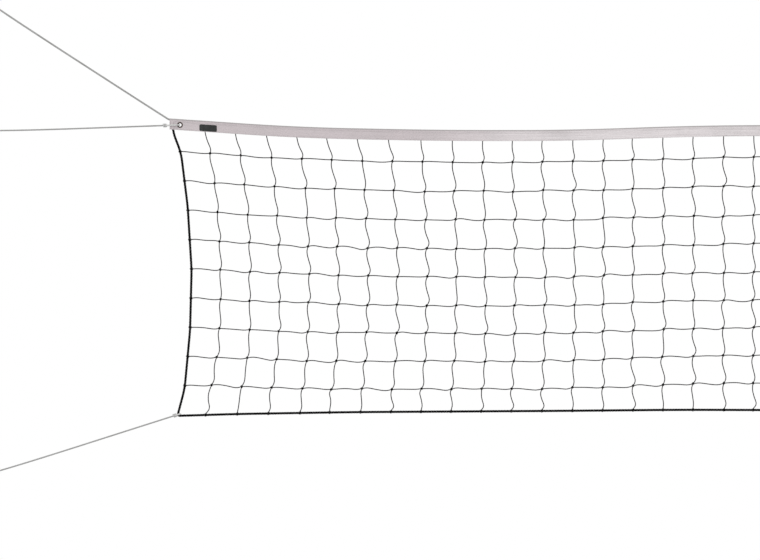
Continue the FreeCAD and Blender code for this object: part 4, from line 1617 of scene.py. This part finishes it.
@dataclass(frozen=True)
class Studio:
    """Plain soft light, a pale floor under the net and a white surround."""

    floor_z: float = -2.6
    floor_long: float = 60.0
    floor_deep: float = 40.0
    pale_long: float = 11.0
    pale_deep: float = 6.0
    pale: Colour = (0.93, 0.93, 0.93)
    grain: Colour = (0.88, 0.88, 0.88)
    sun_strength: float = 1.05
    sun_spread: float = 40.0
    sun_direction: tuple[float, float, float] = (0.35, 0.8, -0.75)
    sky_strength: float = 0.75

    def floor_material(self) -> bpy.types.Material:
        """Pale under the net, white to the eye from a few metres away, and clear to an eye below.

        It turns white where (x / pale_long)^2 + (y / pale_deep)^2 nears 1, and keeps its shadows
        and its light on the net everywhere.

        Returns:
            The material.
        """
        made = MaterialGraph("pale_floor")
        tone = made.blend(made.noise(made.place, 3.0, Detail=3.0), self.pale, self.grain, 0.3)
        made.finished(tone, 0.9, Specular_IOR_Level=0.1)
        spread_out = made.node("ShaderNodeMapping", {
            "Vector": made.place, "Location": (-MIDDLE_X / self.pale_long, 0, 0),
            "Scale": (1 / self.pale_long, 1 / self.pale_deep, 0)})
        away = made.node("ShaderNodeVectorMath", {0: spread_out.outputs[0]}, operation="LENGTH")
        white = made.node("ShaderNodeEmission", {"Color": (1, 1, 1, 1), "Strength": 1.0})
        seen = made.seen_straight()
        shown = made.shader
        for share, other in (
            (made.rise(away.outputs["Value"], 0.35, 1.0), white),
            (made.node("ShaderNodeNewGeometry").outputs["Backfacing"],
             made.node("ShaderNodeBsdfTransparent")),
        ):
            shown = made.node("ShaderNodeMixShader", {
                "Fac": made.math("MULTIPLY", share, seen), 1: shown.outputs[0], 2: other.outputs[0]})
        made.feed(made.output, {"Surface": shown.outputs[0]})
        return made.material

    def floor(self) -> None:
        """Lay the floor: one flat face, looking up."""
        x = np.array([-0.5, 0.5, 0.5, -0.5]) * self.floor_long + MIDDLE_X
        y = np.array([-0.5, -0.5, 0.5, 0.5]) * self.floor_deep
        points = np.column_stack([x, y, np.full(4, self.floor_z)])
        flat = Surface(points, np.arange(4), np.array([4]), points[:, :2])
        piece = flat.to_object("floor", smooth=False)
        piece.data.materials.append(self.floor_material())

    def light(self) -> None:
        """Set an even sky, white to the eye, and one broad sun from the upper left in front."""
        world = bpy.data.worlds.new("studio_sky")
        bpy.context.scene.world = world
        world.use_nodes = True
        world.node_tree.nodes.clear()
        graph = Graph(world.node_tree)
        strength = graph.math("ADD", self.sky_strength, graph.math(
            "MULTIPLY", graph.seen_straight(), 1 - self.sky_strength))
        sky = graph.node("ShaderNodeBackground", {"Color": (1, 1, 1, 1), "Strength": strength})
        graph.node("ShaderNodeOutputWorld", {"Surface": sky.outputs[0]})
        sun = bpy.data.lights.new("broad_sun", "SUN")
        sun.energy = self.sun_strength
        sun.angle = math.radians(self.sun_spread)
        turned = Vector(self.sun_direction).to_track_quat("-Z", "Y").to_euler()
        linked("broad_sun", sun).rotation_euler = turned

    def build(self) -> None:
        """Lay the floor and set the light."""
        self.floor()
        self.light()


def main() -> None:
    """Build the camera and the cords first, then the net piece by piece, then the studio."""
    logging.basicConfig(level=logging.INFO, format="%(name)s %(message)s")
    bpy.context.scene.view_settings.view_transform = "Standard"
    PhotoCamera().build()
    for rope in (HEAD_TAIL, EYELET_TIE, CORNER_TIE):
        rope.build()
    layout = NetLayout()
    ropes, band = BorderRopes(layout), Headband(layout)
    for part in (ropes, band, Eyelets(band), LabelPatch(band), Netting(layout, ropes), Studio()):
        part.build()


if __name__ == "__main__":
    main()
